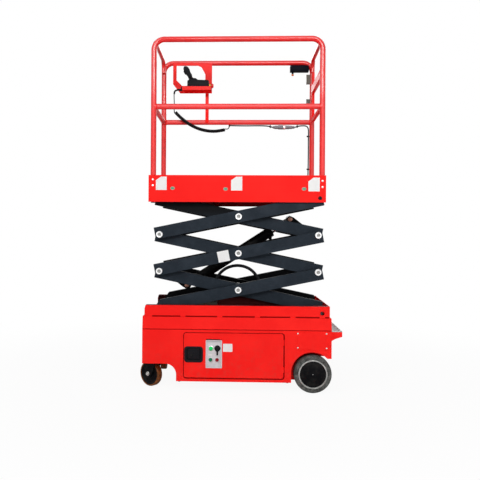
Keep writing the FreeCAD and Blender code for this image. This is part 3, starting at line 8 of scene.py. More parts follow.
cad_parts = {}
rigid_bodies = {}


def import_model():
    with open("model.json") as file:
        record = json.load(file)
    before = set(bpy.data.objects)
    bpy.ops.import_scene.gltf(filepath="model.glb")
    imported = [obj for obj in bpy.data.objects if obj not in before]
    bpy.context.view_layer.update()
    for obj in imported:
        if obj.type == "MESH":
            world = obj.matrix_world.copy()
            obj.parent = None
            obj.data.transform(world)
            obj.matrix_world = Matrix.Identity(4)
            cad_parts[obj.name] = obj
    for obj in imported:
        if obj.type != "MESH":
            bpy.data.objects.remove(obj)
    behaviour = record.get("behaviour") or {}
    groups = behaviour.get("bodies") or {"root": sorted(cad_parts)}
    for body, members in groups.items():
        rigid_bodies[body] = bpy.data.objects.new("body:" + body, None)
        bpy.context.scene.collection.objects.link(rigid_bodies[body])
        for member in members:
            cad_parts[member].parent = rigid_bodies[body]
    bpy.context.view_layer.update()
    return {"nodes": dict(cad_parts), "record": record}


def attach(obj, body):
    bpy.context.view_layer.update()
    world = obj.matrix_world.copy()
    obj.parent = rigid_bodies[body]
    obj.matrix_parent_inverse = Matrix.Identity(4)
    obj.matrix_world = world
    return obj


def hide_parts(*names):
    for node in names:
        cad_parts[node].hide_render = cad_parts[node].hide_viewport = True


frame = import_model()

NODES = frame["nodes"]
MM = 0.001


def metres(at):
    """A point given in millimetres."""
    return tuple(c * MM for c in at)


# Shader maths
class Value:
    """One number or colour that varies over a surface."""

    def __init__(self, paint, socket):
        self.paint = paint
        self.socket = socket

    def _math(self, operation, *others):
        node = self.paint.node("ShaderNodeMath", {"operation": operation}, dict(enumerate(others)))
        return Value(self.paint, node.outputs[0])

    def __add__(self, other):
        return self._math("ADD", self, other)

    def __radd__(self, other):
        return self._math("ADD", other, self)

    def __sub__(self, other):
        return self._math("SUBTRACT", self, other)

    def __rsub__(self, other):
        return self._math("SUBTRACT", other, self)

    def __mul__(self, other):
        return self._math("MULTIPLY", self, other)

    def __rmul__(self, other):
        return self._math("MULTIPLY", other, self)

    def __gt__(self, other):
        return self._math("GREATER_THAN", self, other)

    def __lt__(self, other):
        return self._math("LESS_THAN", self, other)

    def absolute(self):
        return self._math("ABSOLUTE", self)

    def root(self):
        return self._math("SQRT", self)

    def highest(self, other):
        return self._math("MAXIMUM", self, other)

    def ramp(self, low, high, to_low=0.0, to_high=1.0):
        """Goes smoothly from to_low to to_high while the value goes from low to high."""
        node = self.paint.node("ShaderNodeMapRange", {"interpolation_type": "SMOOTHSTEP"}, {
            "Value": self, "From Min": low, "From Max": high, "To Min": to_low, "To Max": to_high})
        return Value(self.paint, node.outputs[0])


class Paint:
    """A material in the making, with its Principled shader."""

    def __init__(self, name, colour, roughness, metallic=0.0, **uniform):
        self.material = bpy.data.materials.new(name)
        self.material.use_nodes = True
        self.tree = self.material.node_tree
        self.shader = self.tree.nodes["Principled BSDF"]
        self.set("Base Color", (*colour, 1.0))
        self.set("Roughness", roughness)
        self.set("Metallic", metallic)
        for socket, number in uniform.items():
            self.set(socket.replace("_", " "), number)

    def feed(self, socket, source):
        if isinstance(source, Value):
            self.tree.links.new(source.socket, socket)
        elif isinstance(source, bpy.types.NodeSocket):
            self.tree.links.new(source, socket)
        else:
            socket.default_value = source

    def set(self, socket, source):
        self.feed(self.shader.inputs[socket], source)

    def node(self, kind, settings, inputs):
        node = self.tree.nodes.new(kind)
        for key, setting in settings.items():
            setattr(node, key, setting)
        for key, source in inputs.items():
            self.feed(node.inputs[key], source)
        return node

    def place(self):
        """The point on the object, in metres."""
        return self.node("ShaderNodeTexCoord", {}, {}).outputs["Object"]

    def xyz(self):
        split = self.node("ShaderNodeSeparateXYZ", {}, {"Vector": self.place()})
        return [Value(self, split.outputs[i]) for i in range(3)]

    def noise(self, scale, detail=4.0, rough=0.5, stretch=None):
        vector = self.place()
        if stretch:
            vector = self.node("ShaderNodeMapping", {}, {"Vector": vector, "Scale": stretch}).outputs[0]
        node = self.node("ShaderNodeTexNoise", {}, {
            "Vector": vector, "Scale": scale, "Detail": detail, "Roughness": rough})
        return Value(self, node.outputs["Fac"])

    def mix(self, mask, low, high):
        """Colour low where the mask is 0 and high where it is 1."""
        node = self.node("ShaderNodeMix", {"data_type": "RGBA"}, {})
        self.feed(node.inputs["Factor"], mask)
        for socket, colour in ((node.inputs[6], low), (node.inputs[7], high)):
            self.feed(socket, colour if isinstance(colour, Value) else (*colour, 1.0))
        return Value(self, node.outputs[2])

    def bump(self, height, strength, distance):
        node = self.node("ShaderNodeBump", {}, {"Height": height, "Strength": strength, "Distance": distance})
        self.set("Normal", node.outputs[0])


# Paints and finishes; places in metres
# UNDERSIDE and SKIRT_IN, SKIRT_OUT bound the painted shade under the platform; WELL_X, WELL_Y, WELL_Z bound
# the painted shade in the arm well
UNDERSIDE = (1.20, 1.334)
SKIRT_IN, SKIRT_OUT = 0.301, 0.3035
WELL_X, WELL_Y, WELL_Z = (-0.632, 0.585), 0.3565, (0.415, 0.66)
# arm faces that keep the slate colour; the other arm faces get painted shade
ARM_OUTER_FACE = (0.284, 0.2885)
ARM_INNER_FACE = (0.2405, 0.2425, 0.2475)
# the rounded edges of the outer arms, which get a painted highlight
ARM_EDGE_HIGHLIGHT = (0.2869, 0.2897)
# heights over which painted shade blackens the outer faces of the inner arms
SHADE_UP_FROM, SHADE_FULL_AT = 1.11, 1.21


def red_powder_coat(name="red_powder_coat", shine=0.13, rough=0.28, light=(0.98, 0.014, 0.010),
                    dark=(0.92, 0.009, 0.007)):
    """Red coat with fine orange peel, glossier on the top rails, dusty low down, with painted shade under the
    platform and in the arm well.
    """
    p = Paint(name, light, 0.32, Specular_IOR_Level=shine)
    x, y, z = p.xyz()
    off = y.absolute()
    cloud = p.noise(5.0, 5.0, 0.6)
    dust = z.ramp(0.45, 0.06) * p.noise(34.0, 6.0, 0.7).ramp(0.42, 0.75)
    # painted shade: under the platform and inside the toe boards below the floor
    under = off.ramp(SKIRT_OUT, SKIRT_IN) * (z > UNDERSIDE[0]) * (z < UNDERSIDE[1])
    shade = p.mix(dust * 0.3, p.mix(cloud.ramp(0.35, 0.7), dark, light), (0.55, 0.08, 0.06))
    # painted shade: the inside of the arm well turns near black
    well_shade = (off < WELL_Y) * (x > WELL_X[0]) * (x < WELL_X[1]) * (z > WELL_Z[0]) * (z < WELL_Z[1])
    # the near-black red (0.07, 0.003, 0.003) is painted shade, laid over the dusty red
    p.set("Base Color", p.mix(under.highest(well_shade), shade, (0.07, 0.003, 0.003)))
    p.set("Roughness", rough + cloud * 0.12 + dust * 0.3 + z.ramp(1.93, 2.06, 0.26, 0.0))
    p.bump(p.noise(420.0, 2.0) * 0.6 + p.noise(60.0, 3.0) * 0.4, 0.10, 0.0006)
    return p.material


def slate_paint():
    """Dark slate satin paint with a worn bloom and fine scratches; painted shade turns it near black away
    from the outer faces and high up on the inner arms, and a painted highlight lightens the outer arms'
    edges.
    """
    p = Paint("slate_paint", (0.020, 0.027, 0.035), 0.42, Specular_IOR_Level=0.06)
    x, y, z = p.xyz()
    cloud = p.noise(9.0, 6.0, 0.65)
    scratch = p.noise(40.0, 3.0, 0.6, (1.0, 1.0, 14.0)).ramp(0.62, 0.72)
    shade = p.mix(cloud.ramp(0.35, 0.75), (0.016, 0.022, 0.030), (0.026, 0.034, 0.045))
    off = y.absolute()
    start, full, end = ARM_INNER_FACE
    # painted shade: the outer faces of the inner arms go near black high up
    inner = off.ramp(start, full) * (off < end) * z.ramp(SHADE_FULL_AT, SHADE_UP_FROM)
    lit_faces = off.ramp(*ARM_OUTER_FACE) + inner
    # painted highlight: a lighter strip along the outer arms' rounded edges, top and bottom
    edge = (off > ARM_EDGE_HIGHLIGHT[0]) * (off < ARM_EDGE_HIGHLIGHT[1])
    # painted shade: every arm face but the lit outer faces turns near black (0.004, 0.0045, 0.0055)
    shade = p.mix(lit_faces, (0.004, 0.0045, 0.0055), shade)
    # the light grey serves both real scratches on the lit faces and the painted highlight on the edges
    p.set("Base Color", p.mix((scratch * 0.2 * lit_faces).highest(edge * 0.5), shade, (0.10, 0.12, 0.14)))
    p.set("Roughness", 0.36 + cloud * 0.22)
    p.bump(p.noise(300.0, 3.0), 0.15, 0.0006)
    return p.material


def moulded_black():
    """Black plastic with a fine moulded grain."""
    p = Paint("moulded_black", (0.010, 0.010, 0.012), 0.5, Specular_IOR_Level=0.08)
    grain = p.noise(900.0, 2.0)
    p.set("Base Color", p.mix(p.noise(14.0, 4.0), (0.006, 0.006, 0.008), (0.014, 0.014, 0.017)))
    p.set("Roughness", 0.40 + grain * 0.22)
    p.bump(grain, 0.3, 0.0003)
    return p.material


def worn_grey_rubber():
    """Solid non-marking rubber: grey, mottled with dirt and scuffed round the tread."""
    p = Paint("worn_grey_rubber", (0.08, 0.08, 0.076), 0.85, Specular_IOR_Level=0.1)
    mottle = p.noise(38.0, 8.0, 0.75)
    grit = p.noise(240.0, 4.0, 0.7)
    shade = p.mix(mottle.ramp(0.34, 0.66), (0.030, 0.031, 0.029), (0.135, 0.138, 0.130))
    p.set("Base Color", p.mix(grit.ramp(0.60, 0.72) * 0.7, shade, (0.30, 0.30, 0.285)))
    p.set("Roughness", 0.70 + grit * 0.25)
    p.bump(grit * 0.5 + mottle * 0.5, 0.5, 0.0012)
    return p.material


def clouded(name, colour, roughness, low, high, cloud, gloss, ramp=None, bump=None, metallic=0.0, shine=0.5):
    """A finish that drifts from colour low to colour high, and whose roughness drifts with it.

    cloud is the noise's scale, detail, roughness and stretch, and gloss the least roughness and its spread.
    bump is a finer noise, or None for the same one, then the strength and the depth in metres.
    """
    p = Paint(name, colour, roughness, metallic, Specular_IOR_Level=shine)
    drift = p.noise(*cloud)
    p.set("Base Color", p.mix(drift.ramp(*ramp) if ramp else drift, low, high))
    p.set("Roughness", gloss[0] + drift * gloss[1])
    if bump:
        fine, strength, depth = bump
        p.bump(p.noise(*fine) if fine else drift, strength, depth)
    return p.material


def plain(name, colour, roughness, metallic=0.0, spread=0.18, scale=80.0, shine=0.5):
    """A small part's finish: one colour that varies a little."""
    low = tuple(c * (1 - spread) for c in colour)
    high = tuple(min(1.0, c * (1 + spread)) for c in colour)
    return clouded(name, colour, roughness, low, high, (scale, 4.0, 0.6), (roughness - 0.08, 0.16),
                   bump=((scale * 6, 2.0), 0.1, 0.0003), metallic=metallic, shine=shine)


RED = red_powder_coat()
RED_TUBE = red_powder_coat("red_tube_coat", 0.62, 0.10, (0.84, 0.011, 0.010), (0.74, 0.008, 0.007))
SLATE = slate_paint()
ZINC = clouded("zinc_plate", (0.62, 0.62, 0.60), 0.34, (0.50, 0.50, 0.48), (0.74, 0.74, 0.72),
               (60.0, 5.0, 0.6), (0.26, 0.26), (0.3, 0.7), ((700.0, 2.0), 0.12, 0.0003), 1.0)
BLACK = moulded_black()
BLACK_PAINT = clouded("painted_black", (0.008, 0.008, 0.009), 0.35, (0.004, 0.004, 0.005),
                      (0.018, 0.017, 0.016), (24.0, 5.0, 0.6), (0.28, 0.25), (0.4, 0.8),
                      ((260.0, 3.0), 0.12, 0.0005), shine=0.05)
TYRE = worn_grey_rubber()
RING = clouded("rim_ring_grey", (0.36, 0.36, 0.35), 0.55, (0.22, 0.22, 0.21), (0.52, 0.52, 0.50),
               (46.0, 6.0, 0.7), (0.45, 0.3), (0.32, 0.68), (None, 0.25, 0.0006))
TREAD = clouded("orange_polyurethane", (0.16, 0.05, 0.012), 0.25, (0.26, 0.085, 0.02), (0.05, 0.017, 0.008),
                (40.0, 5.0, 0.65), (0.16, 0.3), (0.3, 0.75), ((200.0, 3.0), 0.15, 0.0006), shine=0.15)
CHROME = clouded("hard_chrome", (0.78, 0.78, 0.79), 0.08, (0.70, 0.70, 0.71), (0.84, 0.84, 0.85),
                 (30.0, 4.0, 0.6, (1.0, 6.0, 1.0)), (0.05, 0.12), metallic=1.0)
CAST = clouded("cast_grey", (0.12, 0.12, 0.125), 0.6, (0.09, 0.09, 0.095), (0.20, 0.20, 0.205),
               (180.0, 5.0, 0.7), (0.5, 0.25), None, (None, 0.4, 0.001), 0.3)
ALLOY = clouded("brushed_alloy", (0.70, 0.71, 0.72), 0.3, (0.58, 0.59, 0.60), (0.80, 0.81, 0.82),
                (90.0, 3.0, 0.6, (0.3, 8.0, 8.0)), (0.22, 0.22), None, (None, 0.15, 0.0003), 1.0)
CORD = clouded("cord_rubber", (0.006, 0.006, 0.007), 0.42, (0.004, 0.004, 0.005), (0.012, 0.012, 0.014),
               (160.0, 4.0), (0.32, 0.25), None, ((700.0, 2.0), 0.2, 0.0003), shine=0.08)
PANEL = plain("switch_plate_grey", (0.63, 0.62, 0.64), 0.5, shine=0.2)
GREEN = plain("button_green", (0.006, 0.16, 0.075), 0.4, shine=0.15)
STOP_RED = plain("button_red", (0.70, 0.015, 0.012), 0.28)
BUTTON_RED = plain("stop_button_red", (0.24, 0.002, 0.010), 0.4, shine=0.15)
YELLOW = plain("collar_yellow", (0.85, 0.55, 0.02), 0.35)
WHITE = plain("sticker_white", (0.78, 0.78, 0.77), 0.4, spread=0.05)
ORANGE = plain("lens_orange", (0.85, 0.22, 0.02), 0.25)
BRASS = plain("passivated_brass", (0.44, 0.22, 0.16), 0.4, 0.7)
# painted shadow red, for the slots, the crease and the gaps round the doors
SLOT_SHADOW_RED = plain("shadow_red", (0.26, 0.002, 0.002), 0.7, shine=0.02)
DARK = plain("keyhole_black", (0.008, 0.008, 0.008), 0.7)
NAVY = plain("navy_plastic", (0.002, 0.003, 0.008), 0.5, shine=0.05)
LAMP_GREEN = plain("lamp_green", (0.02, 0.72, 0.16), 0.4, shine=0.1)
SEAL_GREEN = plain("seal_green", (0.07, 0.30, 0.15), 0.4)
SEAL_RING = plain("seal_ring_grey", (0.34, 0.28, 0.24), 0.45)
BRIGHT = plain("bright_zinc", (0.93, 0.93, 0.93), 0.34, 0.8, spread=0.06)
COUPLING = plain("coupling_grey", (0.20, 0.21, 0.23), 0.4, 0.3, shine=0.3)
ROLLER = plain("roller_nylon", (0.55, 0.53, 0.47), 0.45)
BOLT = plain("bolt_grey", (0.30, 0.30, 0.29), 0.42, 0.5)
HINGE = plain("hinge_steel", (0.10, 0.095, 0.08), 0.45, 0.4, shine=0.3)
STEP = plain("step_plate_grey", (0.40, 0.40, 0.40), 0.42, 0.7, spread=0.25, scale=60.0)

CAD_PAINTS = {
    "red_paint": RED, "arm_paint": SLATE, "step_grip": STEP, "zinc_steel": ZINC, "black_plastic": BLACK,
    "panel_grey": PANEL, "drive_rubber": TYRE, "hub_black": BLACK_PAINT, "caster_tread": TREAD,
    "fork_black": BLACK_PAINT, "cast_grey": CAST, "battery_case": BLACK, "barrel_black": BLACK_PAINT,
    "rod_chrome": CHROME, "stop_red": STOP_RED, "cord_rubber": CORD, "connector_alloy": ALLOY,
}
for entry in frame["record"]["subparts"]:
    node = NODES[entry["node"]]
    node.data.materials.clear()
    node.data.materials.append(CAD_PAINTS[entry["material_slot"]])
for name in ("rail_near", "rail_far", "rail_ends"):
    NODES[name].data.materials[0] = RED_TUBE
for name in ("gate_hinges", "slide_tracks"):
    NODES[name].data.materials[0] = HINGE


# Shapes; angles in radians
SMOOTH_ANGLE, SHARP_ANGLE, EDGE_ANGLE = 0.6, 0.5, 0.7
HEXAGON_ACROSS = 1.732


def linked(name, data):
    """A new object in the scene."""
    holder = bpy.data.objects.new(name, data)
    bpy.context.scene.collection.objects.link(holder)
    return holder


def circle(radius, count, start=0.0):
    """Points evenly spaced on a circle, from a start in degrees."""
    angles = [math.radians(start) + 2 * math.pi * i / count for i in range(count)]
    return [(radius * math.cos(a), radius * math.sin(a)) for a in angles]


def pin_profile(length):
    """A 30 mm pin with its ends broken, for a turned form."""
    return [(0, 0), (13.5, 0), (15, 1.5), (15, length - 1.5), (13.5, length), (0, length)]


def turn_to(axis):
    """The turn that carries +Z onto an axis."""
    return Vector((0, 0, 1)).rotation_difference(Vector(axis)).to_matrix().to_4x4()


def arc(centre, radius, start, end, steps):
    """Points along an arc, for outlines."""
    angles = [math.radians(start + (end - start) * i / steps) for i in range(steps + 1)]
    return [(centre[0] + radius * math.cos(a), centre[1] + radius * math.sin(a)) for a in angles]


def rounded_outline(low, high, radius, steps=5):
    """A rectangle with rounded corners."""
    (u0, v0), (u1, v1) = low, high
    return (arc((u1 - radius, v0 + radius), radius, -90, 0, steps)
            + arc((u1 - radius, v1 - radius), radius, 0, 90, steps)
            + arc((u0 + radius, v1 - radius), radius, 90, 180, steps)
            + arc((u0 + radius, v0 + radius), radius, 180, 270, steps))


class Shape:
    """One piece's mesh, built from simple forms in millimetres."""

    def __init__(self):
        self.mesh = bmesh.new()

    def absorb(self, part):
        """Joins another mesh to the piece."""
        scratch = bpy.data.meshes.new("scratch")
        part.to_mesh(scratch)
        part.free()
        self.mesh.from_mesh(scratch)
        bpy.data.meshes.remove(scratch)
        return self

    def take(self, part, paint, soften=0.0, segments=2):
        """Joins another mesh to the piece, with its sharp edges rounded."""
        if soften:
            sharp = [e for e in part.edges if len(e.link_faces) == 2 and e.calc_face_angle(0) > SHARP_ANGLE]
            bmesh.ops.bevel(part, geom=sharp, offset=soften, segments=segments, profile=0.5,
                            affect="EDGES", clamp_overlap=True)
        for face in part.faces:
            face.material_index = paint
        return self.absorb(part)

    def block(self, low, high, paint=0, soften=0.0, turn=None):
        part = bmesh.new()
        bmesh.ops.create_cube(part, size=1.0)
        low, high = Vector(low), Vector(high)
        part.transform(Matrix.Translation((low + high) / 2) @ (turn or Matrix.Identity(4))
                       @ Matrix.Diagonal((*(high - low), 1.0)))
        return self.take(part, paint, soften)

    def slab(self, outline, low, high, paint=0, soften=0.0):
        """An outline of x and z pushed from low to high along y."""
        part = bmesh.new()
        near = [part.verts.new((u, low, v)) for u, v in outline]
        far = [part.verts.new((u, high, v)) for u, v in outline]
        part.faces.new(near)
        part.faces.new(list(reversed(far)))
        for i in range(len(outline)):
            j = (i + 1) % len(outline)
            part.faces.new((near[j], near[i], far[i], far[j]))
        bmesh.ops.recalc_face_normals(part, faces=part.faces)
        return self.take(part, paint, soften)

    def rim(self, outer, inner, low, high, paint=0, soften=0.0):
        """A frame between two outlines of x and z with as many points each."""
        part = bmesh.new()
        loops = [[part.verts.new((u, w, v)) for u, v in line]
                 for line, w in ((outer, low), (outer, high), (inner, high), (inner, low))]
        for a, b in zip(loops, loops[1:] + loops[:1]):
            for i in range(len(a)):
                j = (i + 1) % len(a)
                part.faces.new((a[i], a[j], b[j], b[i]))
        bmesh.ops.recalc_face_normals(part, faces=part.faces)
        return self.take(part, paint, soften)

    def turned(self, centre, axis, profile, steps=48, paint=0):
        """A turned form; the profile is (radius, along the axis from the centre)."""
        part = bmesh.new()
        rings = []
        for radius, along in profile:
            count = steps if radius > 1e-6 else 1
            rings.append([part.verts.new((u, v, along)) for u, v in circle(radius, steps)[:count]])
        for a, b in zip(rings, rings[1:]):
            for i in range(steps):
                j = (i + 1) % steps
                corners = [a[i % len(a)], a[j % len(a)], b[j % len(b)], b[i % len(b)]]
                distinct = list(dict.fromkeys(corners))
                if len(distinct) > 2:
                    part.faces.new(distinct)
        bmesh.ops.remove_doubles(part, verts=part.verts, dist=0.001)
        bmesh.ops.recalc_face_normals(part, faces=part.faces)
        part.transform(Matrix.Translation(Vector(centre)) @ turn_to(axis))
        return self.take(part, paint)

    def hexagon(self, centre, axis, across, height, paint=0, soften=0.8):
        part = bmesh.new()
        corner = across / HEXAGON_ACROSS
        bmesh.ops.create_cone(part, cap_ends=True, segments=6, radius1=corner, radius2=corner, depth=height)
        standing = Matrix.Translation((0, 0, height / 2))
        part.transform(Matrix.Translation(Vector(centre)) @ turn_to(axis) @ standing)
        return self.take(part, paint, soften, 1)

    def ring(self, centre, axis, radius, wire, steps=40, sides=8, paint=0):
        angles = [2 * math.pi * i / sides for i in range(sides + 1)]
        return self.turned(centre, axis, [(radius + wire * math.cos(a), wire * math.sin(a)) for a in angles],
                           steps, paint)

    def sweep(self, points, radius, sides=10, paint=0):
        """A round bar through points."""
        part = bmesh.new()
        route = [Vector(p) for p in points]
        side = (route[1] - route[0]).orthogonal()
        rings = []
        for i, point in enumerate(route):
            along = (route[min(i + 1, len(route) - 1)] - route[max(i - 1, 0)]).normalized()
            side = (side - along * side.dot(along)).normalized()
            up = along.cross(side)
            rings.append([part.verts.new(point + (u * side + v * up)) for u, v in circle(radius, sides)])
        for a, b in zip(rings, rings[1:]):
            for k in range(sides):
                m = (k + 1) % sides
                part.faces.new((a[k], a[m], b[m], b[k]))
        part.faces.new(list(reversed(rings[0])))
        part.faces.new(rings[-1])
        bmesh.ops.recalc_face_normals(part, faces=part.faces)
        return self.take(part, paint)

    def moved(self, matrix):
        """Carries all that is in the piece so far to another place."""
        self.mesh.transform(matrix)
        return self

    def both_sides(self):
        """Adds the mirror image on the other side of the middle plane."""
        twin = self.mesh.copy()
        twin.transform(Matrix.Diagonal((1.0, -1.0, 1.0, 1.0)))
        bmesh.ops.reverse_faces(twin, faces=twin.faces)
        return self.absorb(twin)

    def piece(self, name, body, paints, slot, replaces=(), smooth=SMOOTH_ANGLE):
        """Makes the finished piece, in metres."""
        self.mesh.transform(Matrix.Diagonal((MM, MM, MM, 1.0)))
        data = bpy.data.meshes.new(name)
        self.mesh.to_mesh(data)
        self.mesh.free()
        for paint in paints:
            data.materials.append(paint)
        data.shade_smooth()
        data.set_sharp_from_angle(angle=smooth)
        return settle(bpy.data.objects.new(name, data), body, replaces)


def settle(obj, body, replaces=()):
    """Links a finished piece, rides it on its body and hides the CAD nodes it replaces."""
    if obj.name not in bpy.context.scene.collection.objects:
        bpy.context.scene.collection.objects.link(obj)
    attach(obj, body)
    if replaces:
        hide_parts(*replaces)
    return obj


BODY_OF = {node: body for body, nodes in frame["record"]["behaviour"]["bodies"].items() for node in nodes}


def softened(node, width):
    """The CAD piece again with smooth rounds and its sharp edges broken, so that they catch the light."""
    source = NODES[node]
    part = bmesh.new()
    part.from_mesh(source.data)
    bmesh.ops.remove_doubles(part, verts=part.verts, dist=2e-5)
    bmesh.ops.dissolve_limit(part, angle_limit=0.01, verts=part.verts, edges=part.edges)
    data = bpy.data.meshes.new(f"{node}_finished")
    part.to_mesh(data)
    part.free()
    data.materials.append(source.data.materials[0])
    data.shade_smooth()
    data.set_sharp_from_angle(angle=SMOOTH_ANGLE)
    obj = linked(f"{node}_finished", data)
    if width:
        edge = obj.modifiers.new("rounding", "BEVEL")
        edge.width = width * MM
        edge.segments = 2
        edge.limit_method = "ANGLE"
        edge.angle_limit = EDGE_ANGLE
        edge.harden_normals = True
    return settle(obj, BODY_OF[node], [node])


# Repeats made by Geometry Nodes
class Tree:
    """A geometry node tree in the making, with named inputs for its sizes."""

    def __init__(self, name, sizes):
        self.group = bpy.data.node_groups.new(name, "GeometryNodeTree")
        face = self.group.interface
        face.new_socket("Places", in_out="INPUT", socket_type="NodeSocketGeometry")
        self.ids = {}
        for word in sizes:
            socket = face.new_socket(word, in_out="INPUT", socket_type="NodeSocketFloat")
            self.ids[word] = socket.identifier
        socket = face.new_socket("Paint", in_out="INPUT", socket_type="NodeSocketMaterial")
        self.ids["Paint"] = socket.identifier
        face.new_socket("Geometry", in_out="OUTPUT", socket_type="NodeSocketGeometry")
        self.source = self.group.nodes.new("NodeGroupInput")
        self.result = self.group.nodes.new("NodeGroupOutput")

    def size(self, word):
        return self.source.outputs[word]

    def node(self, kind, settings, inputs):
        node = self.group.nodes.new(kind)
        for key, setting in settings.items():
            setattr(node, key, setting)
        for key, source in inputs.items():
            if isinstance(source, bpy.types.NodeSocket):
                self.group.links.new(source, node.inputs[key])
            else:
                node.inputs[key].default_value = source
        return node.outputs

    def maths(self, operation, first, second):
        return self.node("ShaderNodeMath", {"operation": operation}, {0: first, 1: second})[0]

    def attribute(self, name, kind):
        """A value that each place carries."""
        node = self.node("GeometryNodeInputNamedAttribute", {"data_type": kind}, {"Name": name})
        return node["Attribute"]

    def finish(self, form):
        """Stands one form on every place, turned to its facing, and makes it real."""
        aligned = self.node("FunctionNodeAlignRotationToVector", {"axis": "Z"},
                            {"Vector": self.attribute("facing", "FLOAT_VECTOR")})
        spin = self.node("FunctionNodeAxisAngleToRotation", {},
                         {"Axis": (0.0, 0.0, 1.0), "Angle": self.attribute("spin", "FLOAT")})
        turned = self.node("FunctionNodeRotateRotation", {"rotation_space": "LOCAL"},
                           {"Rotation": aligned["Rotation"], "Rotate By": spin["Rotation"]})
        many = self.node("GeometryNodeInstanceOnPoints", {}, {
            "Points": self.source.outputs["Places"], "Instance": form, "Rotation": turned["Rotation"]})
        real = self.node("GeometryNodeRealizeInstances", {}, {"Geometry": many[0]})
        done = self.node("GeometryNodeSetMaterial", {}, {"Geometry": real[0], "Material": self.size("Paint")})
        self.group.links.new(done[0], self.result.inputs["Geometry"])
        return self


def screw_tree():
    """A hexagon head on its washer."""
    tree = Tree("hexagon_screws", ("Washer", "Across", "Height"))
    across = tree.size("Across")
    washer = tree.node("GeometryNodeMeshCylinder", {}, {
        "Vertices": 20, "Radius": tree.maths("MULTIPLY", tree.size("Washer"), 0.5), "Depth": 0.0014})[0]
    head = tree.node("GeometryNodeMeshCone", {}, {
        "Vertices": 6, "Radius Top": tree.maths("MULTIPLY", across, 0.52),
        "Radius Bottom": tree.maths("MULTIPLY", across, 0.577), "Depth": tree.size("Height")})[0]
    whole = tree.node("GeometryNodeJoinGeometry", {}, {"Geometry": washer})
    tree.group.links.new(head, whole[0].node.inputs["Geometry"])
    return tree.finish(whole[0])


def dome_tree():
    """A round-headed rivet or screw."""
    tree = Tree("round_screws", ("Across", "Height"))
    radius = tree.maths("MULTIPLY", tree.size("Across"), 0.5)
    ball = tree.node("GeometryNodeMeshUVSphere", {}, {"Segments": 14, "Rings": 8, "Radius": radius})[0]
    flat = tree.maths("DIVIDE", tree.size("Height"), radius)
    scale = tree.node("ShaderNodeCombineXYZ", {}, {"X": 1.0, "Y": 1.0, "Z": flat})[0]
    return tree.finish(tree.node("GeometryNodeTransform", {}, {"Geometry": ball, "Scale": scale})[0])


def stud_tree():
    """A long raised stud, as on tread plate."""
    tree = Tree("tread_studs", ("Length", "Width", "Height"))
    ball = tree.node("GeometryNodeMeshUVSphere", {}, {"Segments": 10, "Rings": 6, "Radius": 0.5})[0]
    scale = tree.node("ShaderNodeCombineXYZ", {}, {
        "X": tree.size("Length"), "Y": tree.size("Width"), "Z": tree.size("Height")})[0]
    return tree.finish(tree.node("GeometryNodeTransform", {}, {"Geometry": ball, "Scale": scale})[0])


SCREWS = screw_tree()
DOMES = dome_tree()
STUDS = stud_tree()


def scatter(name, body, slot, paint, tree, places, replaces=(), **sizes):
    """One mesh of a form repeated at places: point, facing and spin, in millimetres and degrees."""
    data = bpy.data.meshes.new(name)
    data.from_pydata([metres(at) for at, towards, turn in places], [], [])
    data.attributes.new("facing", "FLOAT_VECTOR", "POINT")
    data.attributes.new("spin", "FLOAT", "POINT")
    for i, (at, towards, turn) in enumerate(places):
        data.attributes["facing"].data[i].vector = towards
        data.attributes["spin"].data[i].value = math.radians(turn)
    seed = linked(f"{name}_places", data)
    repeat = seed.modifiers.new("repeat", "NODES")
    repeat.node_group = tree.group
    for word, number in sizes.items():
        repeat[tree.ids[word]] = number * MM
    repeat[tree.ids["Paint"]] = paint
    bpy.context.view_layer.update()
    ready = seed.evaluated_get(bpy.context.evaluated_depsgraph_get())
    mesh = bpy.data.meshes.new_from_object(ready)
    bpy.data.objects.remove(seed)
    mesh.name = name
    mesh.shade_smooth()
    mesh.set_sharp_from_angle(angle=SMOOTH_ANGLE)
    return settle(bpy.data.objects.new(name, mesh), body, replaces)


# Camera, light and floor
def set_camera():
    camera = bpy.data.cameras.new("camera")
    camera.sensor_width = 36.0
    camera.lens = 36.0 * FOCAL_PX / IMAGE_PX
    camera.shift_x = (IMAGE_PX / 2 - MIDDLE_PX[0]) / IMAGE_PX
    camera.shift_y = (MIDDLE_PX[1] - IMAGE_PX / 2) / IMAGE_PX
    holder = linked("camera", camera)
    holder.matrix_world = (Matrix.Translation(CAMERA_AT) @ Matrix.Rotation(math.radians(CAMERA_YAW), 4, "Z")
                           @ Matrix.Rotation(math.radians(90), 4, "X")
                           @ Matrix.Rotation(math.radians(CAMERA_ROLL), 4, "Z"))
    bpy.context.scene.camera = holder


def area_light(name, at, aim, size, watts):
    lamp = bpy.data.lights.new(name, "AREA")
    lamp.shape = "RECTANGLE"
    lamp.size, lamp.size_y = size
    lamp.energy = watts
    holder = linked(name, lamp)
    holder.location = at
    holder.rotation_euler = (Vector(aim) - Vector(at)).to_track_quat("-Z", "Y").to_euler()


